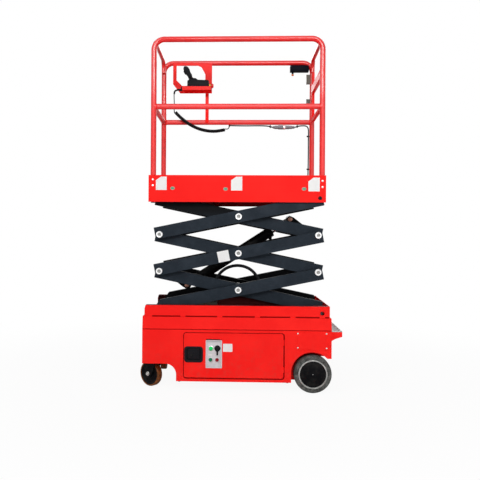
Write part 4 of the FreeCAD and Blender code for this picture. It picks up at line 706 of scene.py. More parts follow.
def set_light_and_floor():
    scene = bpy.context.scene
    scene.view_settings.view_transform = "Standard"
    world = bpy.data.worlds.new("studio")
    world.use_nodes = True
    scene.world = world
    tree = world.node_tree
    sky = tree.nodes["Background"]
    sky.inputs["Color"].default_value = (1, 1, 1, 1)
    sky.inputs["Strength"].default_value = SKY
    white = tree.nodes.new("ShaderNodeBackground")
    white.inputs["Color"].default_value = (1, 1, 1, 1)
    path = tree.nodes.new("ShaderNodeLightPath")
    seen = path.outputs["Is Camera Ray"]
    for kind in ("Is Glossy Ray", "Is Transmission Ray"):
        either = tree.nodes.new("ShaderNodeMath")
        either.operation = "MAXIMUM"
        tree.links.new(seen, either.inputs[0])
        tree.links.new(path.outputs[kind], either.inputs[1])
        seen = either.outputs[0]
    mix = tree.nodes.new("ShaderNodeMixShader")
    tree.links.new(seen, mix.inputs["Fac"])
    tree.links.new(sky.outputs[0], mix.inputs[1])
    tree.links.new(white.outputs[0], mix.inputs[2])
    tree.links.new(mix.outputs[0], tree.nodes["World Output"].inputs["Surface"])

    floor = bpy.data.meshes.new("floor")
    corners = [(u * FLOOR_REACH, v * FLOOR_REACH, 0) for u, v in ((-1, -1), (1, -1), (1, 1), (-1, 1))]
    floor.from_pydata(corners, [], [(0, 1, 2, 3)])
    ground = linked("floor", floor)
    paint = Paint("pale_floor", (0.86, 0.86, 0.86), 0.9)
    x, y, z = paint.xyz()
    path = paint.node("ShaderNodeLightPath", {}, {})
    share = (x * x + y * y).root().ramp(0.8, 3.5, 0.93, 1.0) * Value(paint, path.outputs["Is Camera Ray"])
    glow = paint.node("ShaderNodeEmission", {}, {"Color": (1, 1, 1, 1), "Strength": 1.0})
    mix = paint.node("ShaderNodeMixShader", {}, {0: share, 1: paint.shader.outputs[0], 2: glow.outputs[0]})
    paint.feed(paint.tree.nodes["Material Output"].inputs["Surface"], mix.outputs[0])
    floor.materials.append(paint.material)

    area_light("front", (0.4, -5.4, 3.6), (0, 0, 1.2), (2.4, 1.2), 142)
    area_light("key", (-2.6, -3.6, 4.2), (0, 0, 1.1), (2.6, 2.6), 70)
    area_light("fill", (3.4, -3.6, 2.0), (0, 0, 0.9), (2.6, 2.6), 40)
    area_light("back", (0.4, 3.6, 3.6), (0, 0, 1.2), (3.0, 2.0), 45)


SKY = 0.2
FLOOR_REACH = 14
IMAGE_PX = 480
FOCAL_PX = 591.0
MIDDLE_PX = (215.6, 235.5)
CAMERA_AT = Vector((-0.025, -4.275, 1.033))
CAMERA_YAW = 2.0
CAMERA_ROLL = 0.36
set_camera()
set_light_and_floor()


# Cords and hoses
def nurbs(name, points, radius):
    """A smooth round cord whose control points are given in millimetres."""
    curve = bpy.data.curves.new(name, "CURVE")
    curve.dimensions = "3D"
    spline = curve.splines.new("NURBS")
    spline.points.add(len(points) - 1)
    for point, at in zip(spline.points, points):
        point.co = (*metres(at), 1.0)
    spline.order_u = 3
    spline.use_endpoint_u = True
    spline.resolution_u = 6
    curve.bevel_depth = radius * MM
    curve.bevel_resolution = 3
    curve.use_fill_caps = True
    return bpy.data.objects.new(name, curve)


def line_of(points, step):
    """Points step millimetres apart along the smooth line through a route, in millimetres."""
    bare = nurbs("bare_line", points, 0.0)
    bare.data.use_fill_caps = False
    mesh = bpy.data.meshes.new_from_object(bare)
    line = [v.co / MM for v in mesh.vertices]
    bpy.data.meshes.remove(mesh)
    bpy.data.curves.remove(bare.data)
    lengths = [0.0]
    for a, b in zip(line, line[1:]):
        lengths.append(lengths[-1] + (b - a).length)
    count = max(2, round(lengths[-1] / step))
    spaced = []
    k = 0
    for i in range(count + 1):
        at = lengths[-1] * i / count
        while k < len(lengths) - 2 and lengths[k + 1] < at:
            k += 1
        share = (at - lengths[k]) / max(lengths[k + 1] - lengths[k], 1e-9)
        spaced.append(line[k].lerp(line[k + 1], share))
    return spaced


def helix(line, radius, pitch, step):
    """Points that wind round a line, a turn for each pitch."""
    side = (line[1] - line[0]).orthogonal().normalized()
    points = []
    for i, point in enumerate(line):
        along = (line[min(i + 1, len(line) - 1)] - line[max(i - 1, 0)]).normalized()
        side = (side - along * side.dot(along)).normalized()
        up = along.cross(side)
        angle = 2 * math.pi * i * step / pitch
        points.append(point + radius * (math.cos(angle) * side + math.sin(angle) * up))
    return points


def control_cord():
    """The curly cord with its straight leads, one wire from the control box to the far mid rail."""
    lead, curl, tail = [[GLAND + Vector(step) for step in run] for run in (
        [(-0.3, 0, 0), (-22, 2, -2), (-33, 8, -26), (-29, 16, -98), (-32, 21.2, -150.5),
         (-22.2, 22, -162.75)],
        [(-22, 22, -163), (-10, 23, -178), (30, 24, -216), (99, 26, -266), (175, 29, -298), (251, 32, -310),
         (309, 35, -307), (357, 38, -296)],
        [(357.4, 38, -296), (376, 39, -292), (387, 51, -282), (389, 68, -270)])]
    step = CORD_PITCH / POINTS_A_TURN
    turns = helix(line_of(curl, step), CORD_CURL / 2 - CORD_WIRE / 2, CORD_PITCH, step)
    points = lead[:-1] + turns + tail[1:]
    cord = nurbs("control_cord_curl", points, CORD_WIRE / 2)
    cord.data.splines[0].resolution_u = 2
    cord.data.bevel_resolution = 2
    cord.data.materials.append(CORD)
    settle(cord, "platform", ["control_cord", "control_cord_leads"])
    bare = line_of(points, 2.0)
    length = sum((b - a).length for a, b in zip(bare, bare[1:])) * MM
    metres(lead[0])


CORD_CURL = 27.0
CORD_WIRE = 7.2
CORD_PITCH = 7.4
POINTS_A_TURN = 12
GLAND = Vector((-474.0, 206.0, 2138.144))
control_cord()


# Places and sizes of the machine, in millimetres
SPAN = 1100.0
FOLD = math.radians(13.05)
PIVOT_X, PIVOT_Z = 526.0, 541.0
RISE = SPAN * math.sin(FOLD)
MIDDLE_X = PIVOT_X - SPAN / 2 * math.cos(FOLD)
ARM_TILT = FOLD - math.asin(26.0 / SPAN)
PIN_ALONG = math.sqrt(SPAN * SPAN / 4 - 13.0 * 13.0)
OUTER, INNER, INNER_BACK = 290.0, 244.0, 204.0
SIDE, STRIP = 370.0, 358.0
WHEEL = (484.0, 124.0)
FLOOR_Z = PIVOT_Z + 3 * RISE + 48.0
TOE_TOP, TOE_FACE = 1439.0, 305.0
RAIL_Y, RAIL_R = 281.0, 19.0
RAIL_FRONT, RAIL_REAR = -590.0, 549.0
RAIL_TOP, RAIL_MID = FLOOR_Z + 1027.0, FLOOR_Z + 571.0
SWIVEL_X, SWIVEL_Y = -575.0, 250.0
CASTER_AXLE = (-35, 0, 86)
YAW = {"near": 36.0, "far": 88.0}
SIGN = {"near": -1, "far": 1}


def arm_frame(stage, rises_right):
    """Carries a point of an arm's own line to its place: x along the arm, z off its middle line."""
    turn = Matrix.Rotation(-ARM_TILT if rises_right else ARM_TILT, 4, "Y")
    return Matrix.Translation((MIDDLE_X, 0.0, PIVOT_Z + (stage - 0.5) * RISE)) @ turn


def caster_frame(word):
    """Carries a point of a caster's own frame to its place, with the kingpin on z."""
    kingpin = Matrix.Translation((SWIVEL_X, SIGN[word] * SWIVEL_Y, 0.0))
    return kingpin @ Matrix.Rotation(math.radians(-YAW[word]), 4, "Z")


def cylinder_run():
    """How far the cylinder's eye pin is from its foot pin, along x and along z."""
    along, off = 359.0, 72.5
    return (2 * (along * math.cos(FOLD) + off * math.sin(FOLD)),
            2 * ((SPAN - along) * math.sin(FOLD) + off * math.cos(FOLD)))


def cylinder_frame():
    """Carries a point of the cylinder's own line to its place, with the foot pin at the start."""
    run_x, run_z = cylinder_run()
    foot = Matrix.Translation((MIDDLE_X - run_x / 2, 0.0, PIVOT_Z + 1.5 * RISE - run_z / 2))
    return foot @ Matrix.Rotation(-math.atan2(run_z, run_x), 4, "Y")


# CAD pieces whose shape is right get smooth rounds and broken edges
FINISHES = {
    "chassis_sides": 2.2, "slide_channels": 1.6, "arm_deck": 1.0, "ram_well": 1.0, "wheel_wells": 0.0,
    "chassis_ends": 1.4, "chassis_floor": 1.0, "entry_step": 1.5, "service_covers": 1.2,
    "tie_down_rings": 1.0, "battery_pack": 8.0, "drive_motors": 2.0, "slide_tracks": 1.0,
    "pivot_pins": 1.0, "door_near": 2.0, "door_far": 2.0, "door_far_latch": 1.5,
    "outer_1_arms": 3.0, "outer_2_arms": 3.0, "outer_3_arms": 3.0,
    "inner_1_arms": 3.0, "inner_2_arms": 3.0, "inner_3_arms": 3.0,
    "inner_1_ties": 1.2, "inner_2_ties": 1.2, "inner_3_ties": 1.2, "cylinder_rod": 1.0,
    "platform_deck": 1.5, "rail_near": 0.0, "rail_far": 0.0, "rail_ends": 0.0, "gate": 2.0,
    "gate_hinges": 1.0, "control_bracket": 1.4, "caster_near_fork": 1.2, "caster_far_fork": 1.2,
}
for node, width in FINISHES.items():
    softened(node, width)


# Wheels
TYRE_PROFILE = [
    (95, 2.5), (98, 0.6), (108, 0), (115, 1.2), (120.5, 4.5), (123.3, 9.5), (124, 16), (124, 64),
    (123.3, 70.5), (119, 76.5), (110, 80), (95, 78), (95, 2.5)]
RIM_RING_PROFILE = [(86.2, 4), (87, 1.2), (88.4, 0.2), (92.5, 0.2), (95, 2), (95, 10), (86.2, 10), (86.2, 4)]
RIM_PROFILE = [
    (0, 8), (95, 8), (95, 78), (93, 80), (73, 80), (71, 78), (71, 40), (17.1, 40), (17.1, 26), (0, 26)]
HUB_PROFILE = [(0, 2.6), (46, 2.6), (48, 3.2), (80, 3.2), (84, 4.2), (86.1, 6.5), (86.1, 9), (0, 9)]
TREAD_HALF = [(75, 20.5), (76, 22.0), (80, 22.4), (84, 20.0), (86, 14.5)]
CORE_HALF = [(8.6, 24), (17, 24), (19, 22), (20, 17), (26, 14), (62, 14), (66, 17.5), (70, 19.8), (75, 19.8)]


def drive_wheel(word):
    """Grey tyre, ringed rim and dished hub, with the motor's bolts behind."""
    sign = SIGN[word]
    body = f"drive_wheel_{word}"
    face = (WHEEL[0], sign * 380.0, WHEEL[1])
    inward = (0, -sign, 0)
    tyre = Shape().turned(face, inward, TYRE_PROFILE, 72)
    tyre.piece(f"{word}_drive_tyre", body, [TYRE], "drive_rubber", [f"drive_wheel_{word}_tyre"], smooth=0.9)
    hub = Shape()
    hub.turned(face, inward, RIM_RING_PROFILE, 96, paint=1)
    hub.turned(face, inward, RIM_PROFILE, 96)
    hub.turned(face, inward, HUB_PROFILE, 96)
    hub.turned(face, inward, [(0, 1.2), (2.4, 1.3), (3.2, 2), (3.4, 3.4)], 20, paint=2)
    hub.piece(f"{word}_drive_hub", body, [BLACK_PAINT, RING, BOLT], "hub_black",
              [f"drive_wheel_{word}_hub"])
    bolts = [((WHEEL[0] + u, sign * 300.0, WHEEL[1] + v), inward, 0.0) for u, v in circle(82, 5, 15)]
    scatter(f"{word}_hub_bolts", body, "zinc_steel", ZINC, SCREWS, bolts, Washer=17, Across=13, Height=12)


def mirrored(half):
    """A closed profile from its half on the positive side, run from the negative side up and back."""
    return [(radius, -along) for radius, along in half] + half[::-1] + [(half[0][0], -half[0][1])]


def caster(word):
    """A cast tread on a spoked core, with the axle's and the kingpin's bolts."""
    at = caster_frame(word)
    body = f"caster_{word}"
    axle = Vector(CASTER_AXLE)
    tread = Shape().turned(axle, (0, 1, 0), mirrored(TREAD_HALF), 48).moved(at)
    tread.piece(f"{word}_caster_tread", f"{body}_wheel", [TREAD], "caster_tread",
                [f"caster_{word}_tread"], 0.9)
    core = Shape().turned(axle, (0, 1, 0), mirrored(CORE_HALF), 56)
    for i in range(6):
        a = math.radians(60 * i)
        spoke = axle + 39 * Vector((math.cos(a), 0, math.sin(a)))
        half = Vector((14, 16, 2.5))
        core.block(spoke - half, spoke + half, 0, 1.0, Matrix.Rotation(-a, 4, "Y"))
    core.moved(at).piece(f"{word}_caster_core", f"{body}_wheel", [BLACK_PAINT], "fork_black",
                         [f"caster_{word}_core"])
    bolts = Shape()
    for side in (-1, 1):
        out = Vector((0, side, 0))
        bolts.turned(axle + 32.5 * out, out, [(0, 0), (14, 0), (14, 1.6), (13, 2.4), (0, 2.4)], 28)
        bolts.hexagon(axle + 34.5 * out, out, 19, 8.5)
    bolts.turned((0, 0, 189), (0, 0, 1), [(20, 0), (26, 0), (27.5, 1.5), (27.5, 5), (20, 6)], 36)
    bolts.moved(at).piece(f"{word}_caster_bolts", body, [ZINC], "zinc_steel")


for side in ("near", "far"):
    drive_wheel(side)
    caster(side)


# Body and what is fixed to it
def body_side_details():
    """Painted shadow in the slots, under the crease and round the doors of the sides; weld stitches at the
    slide channel, screws and rubber stops.
    """
    shadow_marks = Shape()
    tabs = [-376.0, -131.0, 117.5, 352.7, 545.0]
    runs = [-581.0] + [x for tab in tabs for x in (tab - 18, tab + 18)]
    # painted shade in the slots between the tabs, and in the gap at the rear
    for x0, x1 in list(zip(runs[::2], runs[1::2])) + [(563.0, 590.0)]:
        shadow_marks.block((x0, -(STRIP + 0.7), 491.0), (x1, -(STRIP - 1.0), 500.0), 0, 0.3)
    # painted shadow along the crease of the side
    shadow_marks.block((-644.0, -(SIDE + 0.5), 408.0), (605.0, -(SIDE - 2.0), 412.5), 0, 0.2)
    # painted shadow in the gap round the door, wider at the right and the bottom
    shadow_marks.rim(rounded_outline((-371.5, 84.0), (299.0, 391.5), 20),
              rounded_outline((-369.8, 89.2), (293.8, 389.8), 18), -(SIDE + 0.4), -(SIDE - 1.0))
    shadow_marks.both_sides().piece("strip_slot_shadow_lines", "chassis", [SLOT_SHADOW_RED], "red_paint")
    beads = [((tab - 15 + 3.4 * i, sign * (STRIP + 0.2), 495.5), (0, sign, 0.35), 90.0 + 7 * (i % 3))
             for tab in tabs for i in range(10) for sign in (-1, 1)]
    scatter("strip_weld_stitches", "chassis", "red_paint", RED, STUDS, beads,
            Length=8.5, Width=5.2, Height=3.4)
    corners = ((384, 391), (572, 391), (384, 297), (572, 296))
    screws = [((x, sign * 373.2, z), (0, sign, 0), 20.0 * k)
              for k, (x, z) in enumerate(corners) for sign in (-1, 1)]
    scatter("cover_screws", "chassis", "zinc_steel", ZINC, DOMES, screws, Across=11, Height=3.0)
    stops = Shape()
    for x in (-398.0, 318.0):
        stops.turned((x, -352, 66.5), (0, 0, -1), [(0, -2), (9, -2), (9, 2), (7.5, 5.5), (6, 6), (0, 6)], 24)
    stops.both_sides().piece("skirt_stops", "chassis", [CORD], "black_plastic")


def caster_bay():
    """Swivel rings over the casters and the bolts that hold them."""
    plates = Shape()
    ring = [(36.5, 0), (47, 0), (48.5, 1.5), (48.5, 5.3), (36.5, 5.3), (36.5, 0)]
    for sign in (-1, 1):
        plates.turned((SWIVEL_X, sign * SWIVEL_Y, 198.5), (0, 0, 1), ring, 48)
    plates.piece("swivel_rings", "chassis", [BLACK_PAINT], "fork_black")
    nuts = [((SWIVEL_X + u, sign * SWIVEL_Y + v, 201.0), (0, 0, -1), 15.0)
            for u, v in circle(58, 4, 45) for sign in (-1, 1)]
    scatter("swivel_bolts", "chassis", "zinc_steel", ZINC, SCREWS, nuts, Washer=20, Across=15, Height=11)


def step_tread():
    """Serrated ribs along the step, over a plate."""
    tread = Shape().block((606, -345, 400), (679, 345, 404.0), 0, 1.0)
    for i in range(11):
        x = 610.0 + 6.3 * i
        tread.slab([(x, 403.5), (x + 4.2, 403.5), (x + 3.0, 406.4), (x + 1.2, 406.4)], -341, 341, paint=0)
    tread.piece("step_tread", "chassis", [STEP], "step_grip", ["entry_tread"])
    screws = [((x, y, 405.6), (0, 0, 1), 0.0) for x in (616.0, 669.0) for y in (-325.0, 0.0, 325.0)]
    scatter("step_screws", "chassis", "zinc_steel", ZINC, DOMES, screws, Across=12, Height=4)


def battery_and_pump():
    """Four batteries with caps, posts and bridging cables, and the pump with its tank and hoses."""
    rows = [-128.0 + 85.0 * i for i in range(4)]
    tops = Shape()
    for y in rows:
        tops.block((-331, y - 38, 372), (-83, y + 38, 384), 0, 3.0)
        for k in range(3):
            tops.turned((-292 + 88.0 * k, y, 384), (0, 0, 1), [(0, 0), (15, 0), (15, 5), (12, 7), (0, 7)], 24)
        for x in (-318.0, -96.0):
            tops.turned((x, y + 22, 384), (0, 0, 1), [(0, 0), (7, 0), (6, 9), (0, 9)], 20, paint=1)
    for y in rows[:3]:
        tops.sweep([(-96, y + 22, 392), (-96, y + 34, 400), (-112, y + 60, 402), (-200, y + 84, 400),
                    (-300, y + 104, 398), (-318, y + 107, 392)], 5.5, 10, paint=2)
    tops.piece("battery_tops", "chassis", [BLACK, BRASS, STOP_RED], "battery_case")
    pump = Shape()
    pump.block((41, -160, 158), (251, 20, 304), 0, 7.0)
    pump.turned((146, -70, 304), (0, 0, 1),
                [(0, -1), (22, -1), (22, 6), (17, 9), (17, 14), (12, 17), (0, 17)], 32, paint=1)
    pump.block((51, 15, 158), (221, 90, 214), 0, 4.0)
    tank = [(0, 0), (50, 0), (55, 6), (55, 150), (50, 158), (38, 160), (38, 188), (34, 190), (0, 190)]
    pump.turned((41, 80, 224), (1, 0, 0), tank, 48, paint=2)
    for i in range(7):
        pump.ring((58 + 18.0 * i, 80, 224), (1, 0, 0), 54.5, 1.6, 48, 6, paint=2)
    pump.block((228, 40, 186), (246, 118, 262), 0, 3.0)
    for y in (60.0, 98.0):
        pump.hexagon((246, y, 224), (1, 0, 0), 22, 12, paint=1)
        pump.sweep([(256, y, 224), (262, y, 226), (266, y, 240), (264, y - 6, 280), (250, y - 16, 330),
                    (200, y - 30, 372), (120, y - 40, 386)], 7, 10, paint=3)
    pump.piece("power_unit", "chassis", [CAST, ZINC, BLACK_PAINT, CORD], "cast_grey", ["pump_unit"])


def motor_details():
    """Flange screws and cooling ribs of the drive motors."""
    screws = [((WHEEL[0] + u, sign * 149.6, WHEEL[1] + v), (0, -sign, 0), 0.0)
              for sign in (-1, 1) for u, v in circle(54, 6, 30)]
    scatter("motor_screws", "chassis", "zinc_steel", ZINC, SCREWS, screws, Washer=13, Across=10, Height=7)
    bands = Shape()
    for y in (-172.0, -200.0, -228.0, -256.0):
        bands.ring((WHEEL[0], y, WHEEL[1]), (0, 1, 0), 65.4, 1.6, 56, 6)
    bands.both_sides().piece("motor_ribs", "chassis", [CAST], "cast_grey")


body_side_details()
caster_bay()
step_tread()
battery_and_pump()
motor_details()


# Doors, latches and the switch panel
def latch(word):
    """Black paddle latch in its rounded dish."""
    sign = SIGN[word]

    def deep(out):
        return sign * (SIDE + out)

    dish = Shape()
    outer = rounded_outline((-365, 193), (-240, 298), 20)
    inner = rounded_outline((-350, 208), (-255, 284), 10)
    dish.rim(outer, inner, deep(-0.5), deep(4.2), soften=1.4)
    dish.rim(rounded_outline((-355, 203), (-250, 289), 12), inner, deep(-11.5), deep(1.0))
    dish.slab(rounded_outline((-353, 205), (-252, 287), 12), deep(-12.0), deep(-8.5))
    paddle = rounded_outline((-342, 214), (-263, 279), 8)
    dish.slab(paddle, deep(-9.0), deep(0.4), soften=2.2)
    dish.slab(rounded_outline((-338, 268), (-267, 282), 5), deep(-9.0), deep(2.2), soften=1.8)
    dish.turned((-316, deep(0.2), 238), (0, sign, 0), [(0, 1.0), (5.5, 1.0), (8.0, 0.6), (9.5, -0.8)], 28,
                paint=1)
    dish.block((-317.0, min(deep(0), deep(1.6)), 233.5), (-315.0, max(deep(0), deep(1.6)), 242.5), 2)
    dish.piece(f"{word}_latch", f"door_{word}", [BLACK, BLACK_PAINT, DARK], "black_plastic",
               [f"door_{word}_latch"])


def switch_panel():
    """Grey plate with a lamp, a rotary switch with its lever, two buttons and a pale strip."""
    x0, x1, z0, z1 = -222.0, -114.0, 156.5, 340.0
    face = -SIDE
    panel = Shape()

    def knob(x, out, z, profile, paint, steps=36):
        panel.turned((x, face + out, z), (0, -1, 0), profile, steps, paint=paint)

    panel.rim(rounded_outline((x0, z0), (x1, z1), 4),
              rounded_outline((x0 + 6, z0 + 6), (x1 - 6, z1 - 6), 3), face - 4, face + 7, soften=0.8)
    panel.block((x0 + 3, face + 5.0, z0 + 3), (x1 - 3, face + 40, z1 - 3), 0, 1.5)
    knob(-188, 5.2, 286, [(0, 0), (16.5, 0), (17, 3), (15, 5), (13.5, 5.4)], 1)
    knob(-188, 0.2, 286, [(13.6, 0), (13.2, 4), (10, 7), (5, 8.6), (0, 9.1)], 2)
    knob(-145, 5.2, 286, [(0, 0), (20, 0), (20.5, 3), (18.5, 5.4), (14, 7.5), (0, 8)], 3, 40)
    panel.slab(rounded_outline((-150.5, 242), (-139.5, 304), 5), face - 12.0, face - 2.0, paint=3,
               soften=1.6)
    for x, paint in ((-190.0, 4), (-147.0, 5)):
        knob(x, 5.2, 211, [(0, 0), (15, 0), (15.5, 2.5), (13.5, 4.5), (12.4, 4.6)], 1)
        knob(x, 1.0, 211, [(12.3, 0), (12.0, 4.5), (10.6, 6.0), (4, 5.2), (0, 5.0)], paint)
    panel.slab(rounded_outline((-205, 239), (-179, 246), 1.2), face + 4.2, face + 5.2, paint=6)
    paints = [PANEL, ALLOY, LAMP_GREEN, BLACK, GREEN, BUTTON_RED, WHITE]
    panel.piece("switch_panel", "door_near", paints, "panel_grey", ["control_panel"])
    screws = [((x, face + 4.6, z), (0, -1, 0), 15.0) for x in (x0 + 13, x1 - 13) for z in (z0 + 13, z1 - 13)]
    scatter("panel_screws", "door_near", "zinc_steel", ZINC, DOMES, screws, Across=8, Height=3)
    sticker = Shape().slab(rounded_outline((-108, 265), (-46, 318), 4), face - 0.5, face + 0.3)
    sticker.piece("door_sticker", "door_near", [WHITE], "panel_grey")


def door_inside(word):
    """Two stiffening ribs inside the door, and the rubber seal it closes on."""
    sign = SIGN[word]
    y0, y1 = sorted((sign * 352.4, sign * 364.0))
    inside = Shape()
    for x in (-120.0, 60.0):
        inside.block((x - 9, y0 + 2, 110), (x + 9, y1 - 2, 369), 0, 1.5)
    inside.piece(f"{word}_door_ribs", f"door_{word}", [RED], "red_paint")
    seal = Shape().rim(rounded_outline((-376, 83), (299.5, 396), 22),
                       rounded_outline((-362, 97), (286, 382), 12), sign * 346.0, sign * 350.8, soften=1.0)
    seal.piece(f"{word}_door_seal", "chassis", [CORD], "black_plastic")


for side in ("near", "far"):
    latch(side)
switch_panel()
for side in ("near", "far"):
    door_inside(side)


# The folding arms
def stage_pins(stage):
    """Shafts, stubs, washers and bolt heads of one pair of outer arms."""
    pins = Shape()
    for end, along, off in (("low", -PIN_ALONG, -13.0), ("high", PIN_ALONG, 13.0)):
        rollers = stage == 1 and end == "low"
        reach = 348.0 if rollers else OUTER + 4
        pins.turned((along, -reach, off), (0, 1, 0), pin_profile(2 * reach), 36)
        for sign in (-1, 1):
            out = (0, sign, 0)
            if rollers:
                roller = [(15, 0), (20.5, 0), (22, 1.5), (22, 26.5), (20.5, 28), (15, 28)]
                pins.turned((along, sign * 316, off), out, roller, 40, paint=1)
                spacer = [(15, 0), (22, 0), (22, 4), (15, 4)]
                pins.turned((along, sign * (OUTER + 0.4), off), out, spacer, 32)
            else:
                bolt_end(pins, along, sign, off)
    for sign in (-1, 1):
        pins.turned((0, sign * 200, 0), (0, sign, 0), [(0, 0), (13.5, 0), (15, 1.5), (15, 90), (0, 90)], 36)
        pins.turned((0, sign * 244.5, 0), (0, sign, 0), [(15, 0), (25, 0), (25, 5.5), (15, 5.5)], 36)
        bolt_end(pins, 0.0, sign, 0.0)
    pins.moved(arm_frame(stage, True))
    pins.piece(f"outer_{stage}_bolts", f"outer_{stage}", [BRIGHT, ROLLER, BOLT], "zinc_steel",
               [f"outer_{stage}_pins"])


def bolt_end(shape, along, sign, off):
    """A dished washer and a bolt head with a round recess, on an outer arm's face."""
    shape.turned((along, sign * OUTER, off), (0, sign, 0), [
        (12, -1), (20.5, 0), (22, 0.8), (22, 2.6), (20.5, 4.0), (15, 4.2), (12, 3.4)], 40)
    shape.turned((along, sign * OUTER, off), (0, sign, 0), [
        (0, 5.8), (4.5, 5.8), (5.6, 7.6), (9.6, 8.4), (11.6, 7.2), (12.2, 4.6), (12.2, 2)], 36, paint=2)


def tube_welds():
    """Round weld beads where the cross tubes meet the inner arms."""
    for stage in (1, 2, 3):
        beads = Shape()
        spots = [(PIN_ALONG, -13.0)] if stage > 1 else []
        if stage < 3:
            spots.append((-PIN_ALONG, 13.0))
        if stage != 2:
            spots.append((490.0 if stage == 3 else -490.0, 0.0))
        for along, off in spots:
            for sign in (-1, 1):
                beads.ring((along, sign * (INNER_BACK - 0.5), off), (0, 1, 0), 25.6, 2.6, 40, 8)
        beads.moved(arm_frame(stage, False))
        beads.piece(f"inner_{stage}_welds", f"inner_{stage}", [SLATE], "arm_paint")


def arm_label():
    """A blank white label on the second near arm."""
    label = Shape().slab(rounded_outline((-141, -36), (-64, 37), 3), -(OUTER + 0.7), -(OUTER - 0.3))
    label.moved(arm_frame(2, True)).piece("arm_label", "outer_2", [WHITE], "panel_grey")


for number in (1, 2, 3):
    stage_pins(number)
tube_welds()
arm_label()


# The lifting cylinder
BARREL_PROFILE = [
    (0, 40), (33, 40), (37.4, 43), (37.4, 56), (36, 58), (36, 694), (38.4, 697), (38.4, 716), (36.6, 720),
    (21.3, 720), (21.0, 700), (21.0, 60)]
PIN_CAP = [(13, 0), (15.8, 0.5), (15.8, 7.8), (13.6, 8.6), (0, 8.6)]


def cylinder():
    """The barrel with its foot, welds, gland and ports, and the caps of its two pins."""
    barrel = Shape()
    barrel.turned((0, -22, 0), (0, 1, 0), [(15, 0), (26, 0), (28, 2), (28, 42), (26, 44), (15, 44)], 48)
    barrel.turned((0, -41, 0), (0, 1, 0), pin_profile(82), 36, paint=1)
    barrel.block((0, -22, -20), (45, 22, 20), 0, 3.0)
    barrel.turned((0, 0, 0), (1, 0, 0), BARREL_PROFILE, 56)
    barrel.ring((58.5, 0, 0), (1, 0, 0), 36, 1.8, 56, 6)
    barrel.ring((693, 0, 0), (1, 0, 0), 36, 1.4, 56, 6)
    barrel.turned((720, 0, 0), (1, 0, 0), [(21.0, -1), (26, 0), (27, 1.5), (22.5, 3.0), (21.0, 2.0)], 48,
                  paint=2)
    barrel.hexagon((685, 0, -34), (0, 0, -1), 22, 10)
    barrel.turned((685, 0, -44), (0, 0, -1), [(0, 0), (8, 0), (8, 13.5), (6.5, 14), (0, 14)], 24)
    barrel.hexagon((110, 0, 34), (0, 0, 1), 20, 8)
    barrel.moved(cylinder_frame())
    barrel.piece("lift_cylinder_barrel", "cylinder_barrel", [BLACK_PAINT, BRASS, CORD], "barrel_black",
                 ["cylinder_barrel"])
    run = math.hypot(*cylinder_run())
    for name, body, along in (("eye_pin_ends", "inner_3", run), ("foot_pin_ends", "inner_1", 0)):
        ends = Shape()
        for sign in (-1, 1):
            ends.turned((along, sign * 52.3, 0), (0, sign, 0), PIN_CAP, 36)
        ends.moved(cylinder_frame()).piece(name, body, [BRASS], "zinc_steel")


cylinder()


# The platform
def tread_plate():
    """Crossed rows of long studs over the platform's floor."""
    studs = []
    for i in range(47):
        for k in range(22):
            x, y = -606.0 + 25.2 * i, -278.0 + 26.4 * k
            if (-572 < x < 528 or abs(y) < 255) and x < 560:
                studs.append(((x, y, FLOOR_Z), (0, 0, 1), 45.0 if (i + k) % 2 else -45.0))
    scatter("floor_tread_plate", "platform", "red_paint", RED, STUDS, studs, Length=21, Width=5.5, Height=3.0)


def toe_board_details():
    """Blank labels and round seals on the toe boards, hole plugs, and the bolts of the rail posts."""
    face = -TOE_FACE
    plates = Shape()
    for x0, x1, z0, z1 in ((-569, -496, 1338, 1428), (-62, 13, 1336, 1429), (455, 530, 1332, 1424)):
        outline = [(x0, z0), (x1, z0), (x1, z1), (x0 + 35, z1), (x0, z1 - 25)]
        plates.slab(outline, face - 0.6, face + 0.3)
    plates.both_sides().piece("toe_board_labels", "platform", [WHITE], "panel_grey")
    dots = Shape()
    for x, z in ((-456, 1350), (-99, 1346), (427, 1348)):
        for paint, wide in enumerate((15.5, 11.0)):
            outline = [(x + wide * u, z + (wide - 4.0) * v) for u, v in circle(1.0, 28)]
            dots.slab(outline, face - 0.6 - 0.3 * paint, face + 0.3, paint=paint)
    dots.both_sides().piece("toe_board_seals", "platform", [SEAL_RING, SEAL_GREEN], "panel_grey")
    plugs = Shape()
    plugs.turned((534, face, 1287), (0, -1, 0),
                 [(0, 2.4), (4, 2.4), (6, 3.0), (11.5, 2.2), (12.8, 0.6), (12.8, -0.5)], 32)
    plugs.both_sides().piece("toe_board_plugs", "platform", [BLACK], "black_plastic")
    spots = ((RAIL_FRONT, 1408), (RAIL_FRONT, 1369), (RAIL_REAR, 1402), (RAIL_REAR, 1361))
    bolts = [((x, sign * (TOE_FACE + 0.5), z), (0, sign, 0), 11.0) for x, z in spots for sign in (-1, 1)]
    scatter("post_bolts", "platform", "zinc_steel", BRIGHT, DOMES, bolts, Across=15.5, Height=5)


def rail_joints():
    """Weld beads of the guard rails and sleeves at the feet of the posts."""
    beads = Shape()
    for y in (-RAIL_Y, RAIL_Y):
        for x, along in ((RAIL_FRONT, 1), (RAIL_REAR, -1)):
            beads.ring((x + along * 19.6, y, RAIL_MID), (1, 0, 0), 18.6, 2.4, 36, 8)
            beads.ring((x, y, FLOOR_Z + 1.2), (0, 0, 1), 19.6, 2.4, 36, 8)
    for y, along in ((-RAIL_Y, 1), (RAIL_Y, -1)):
        beads.ring((RAIL_FRONT, y + along * 19.0, RAIL_MID), (0, 1, 0), 17.6, 2.2, 36, 8)
    beads.piece("rail_welds", "platform", [RED], "red_paint")
    sleeves = Shape()
    for x in (RAIL_FRONT, RAIL_REAR):
        for y in (-RAIL_Y, RAIL_Y):
            sleeves.turned((x, y, FLOOR_Z), (0, 0, 1), [(19, 8), (20.4, 8), (20.4, 70), (19, 71)], 36)
    sleeves.piece("post_sleeves", "platform", [RED], "red_paint")


tread_plate()
toe_board_details()
rail_joints()


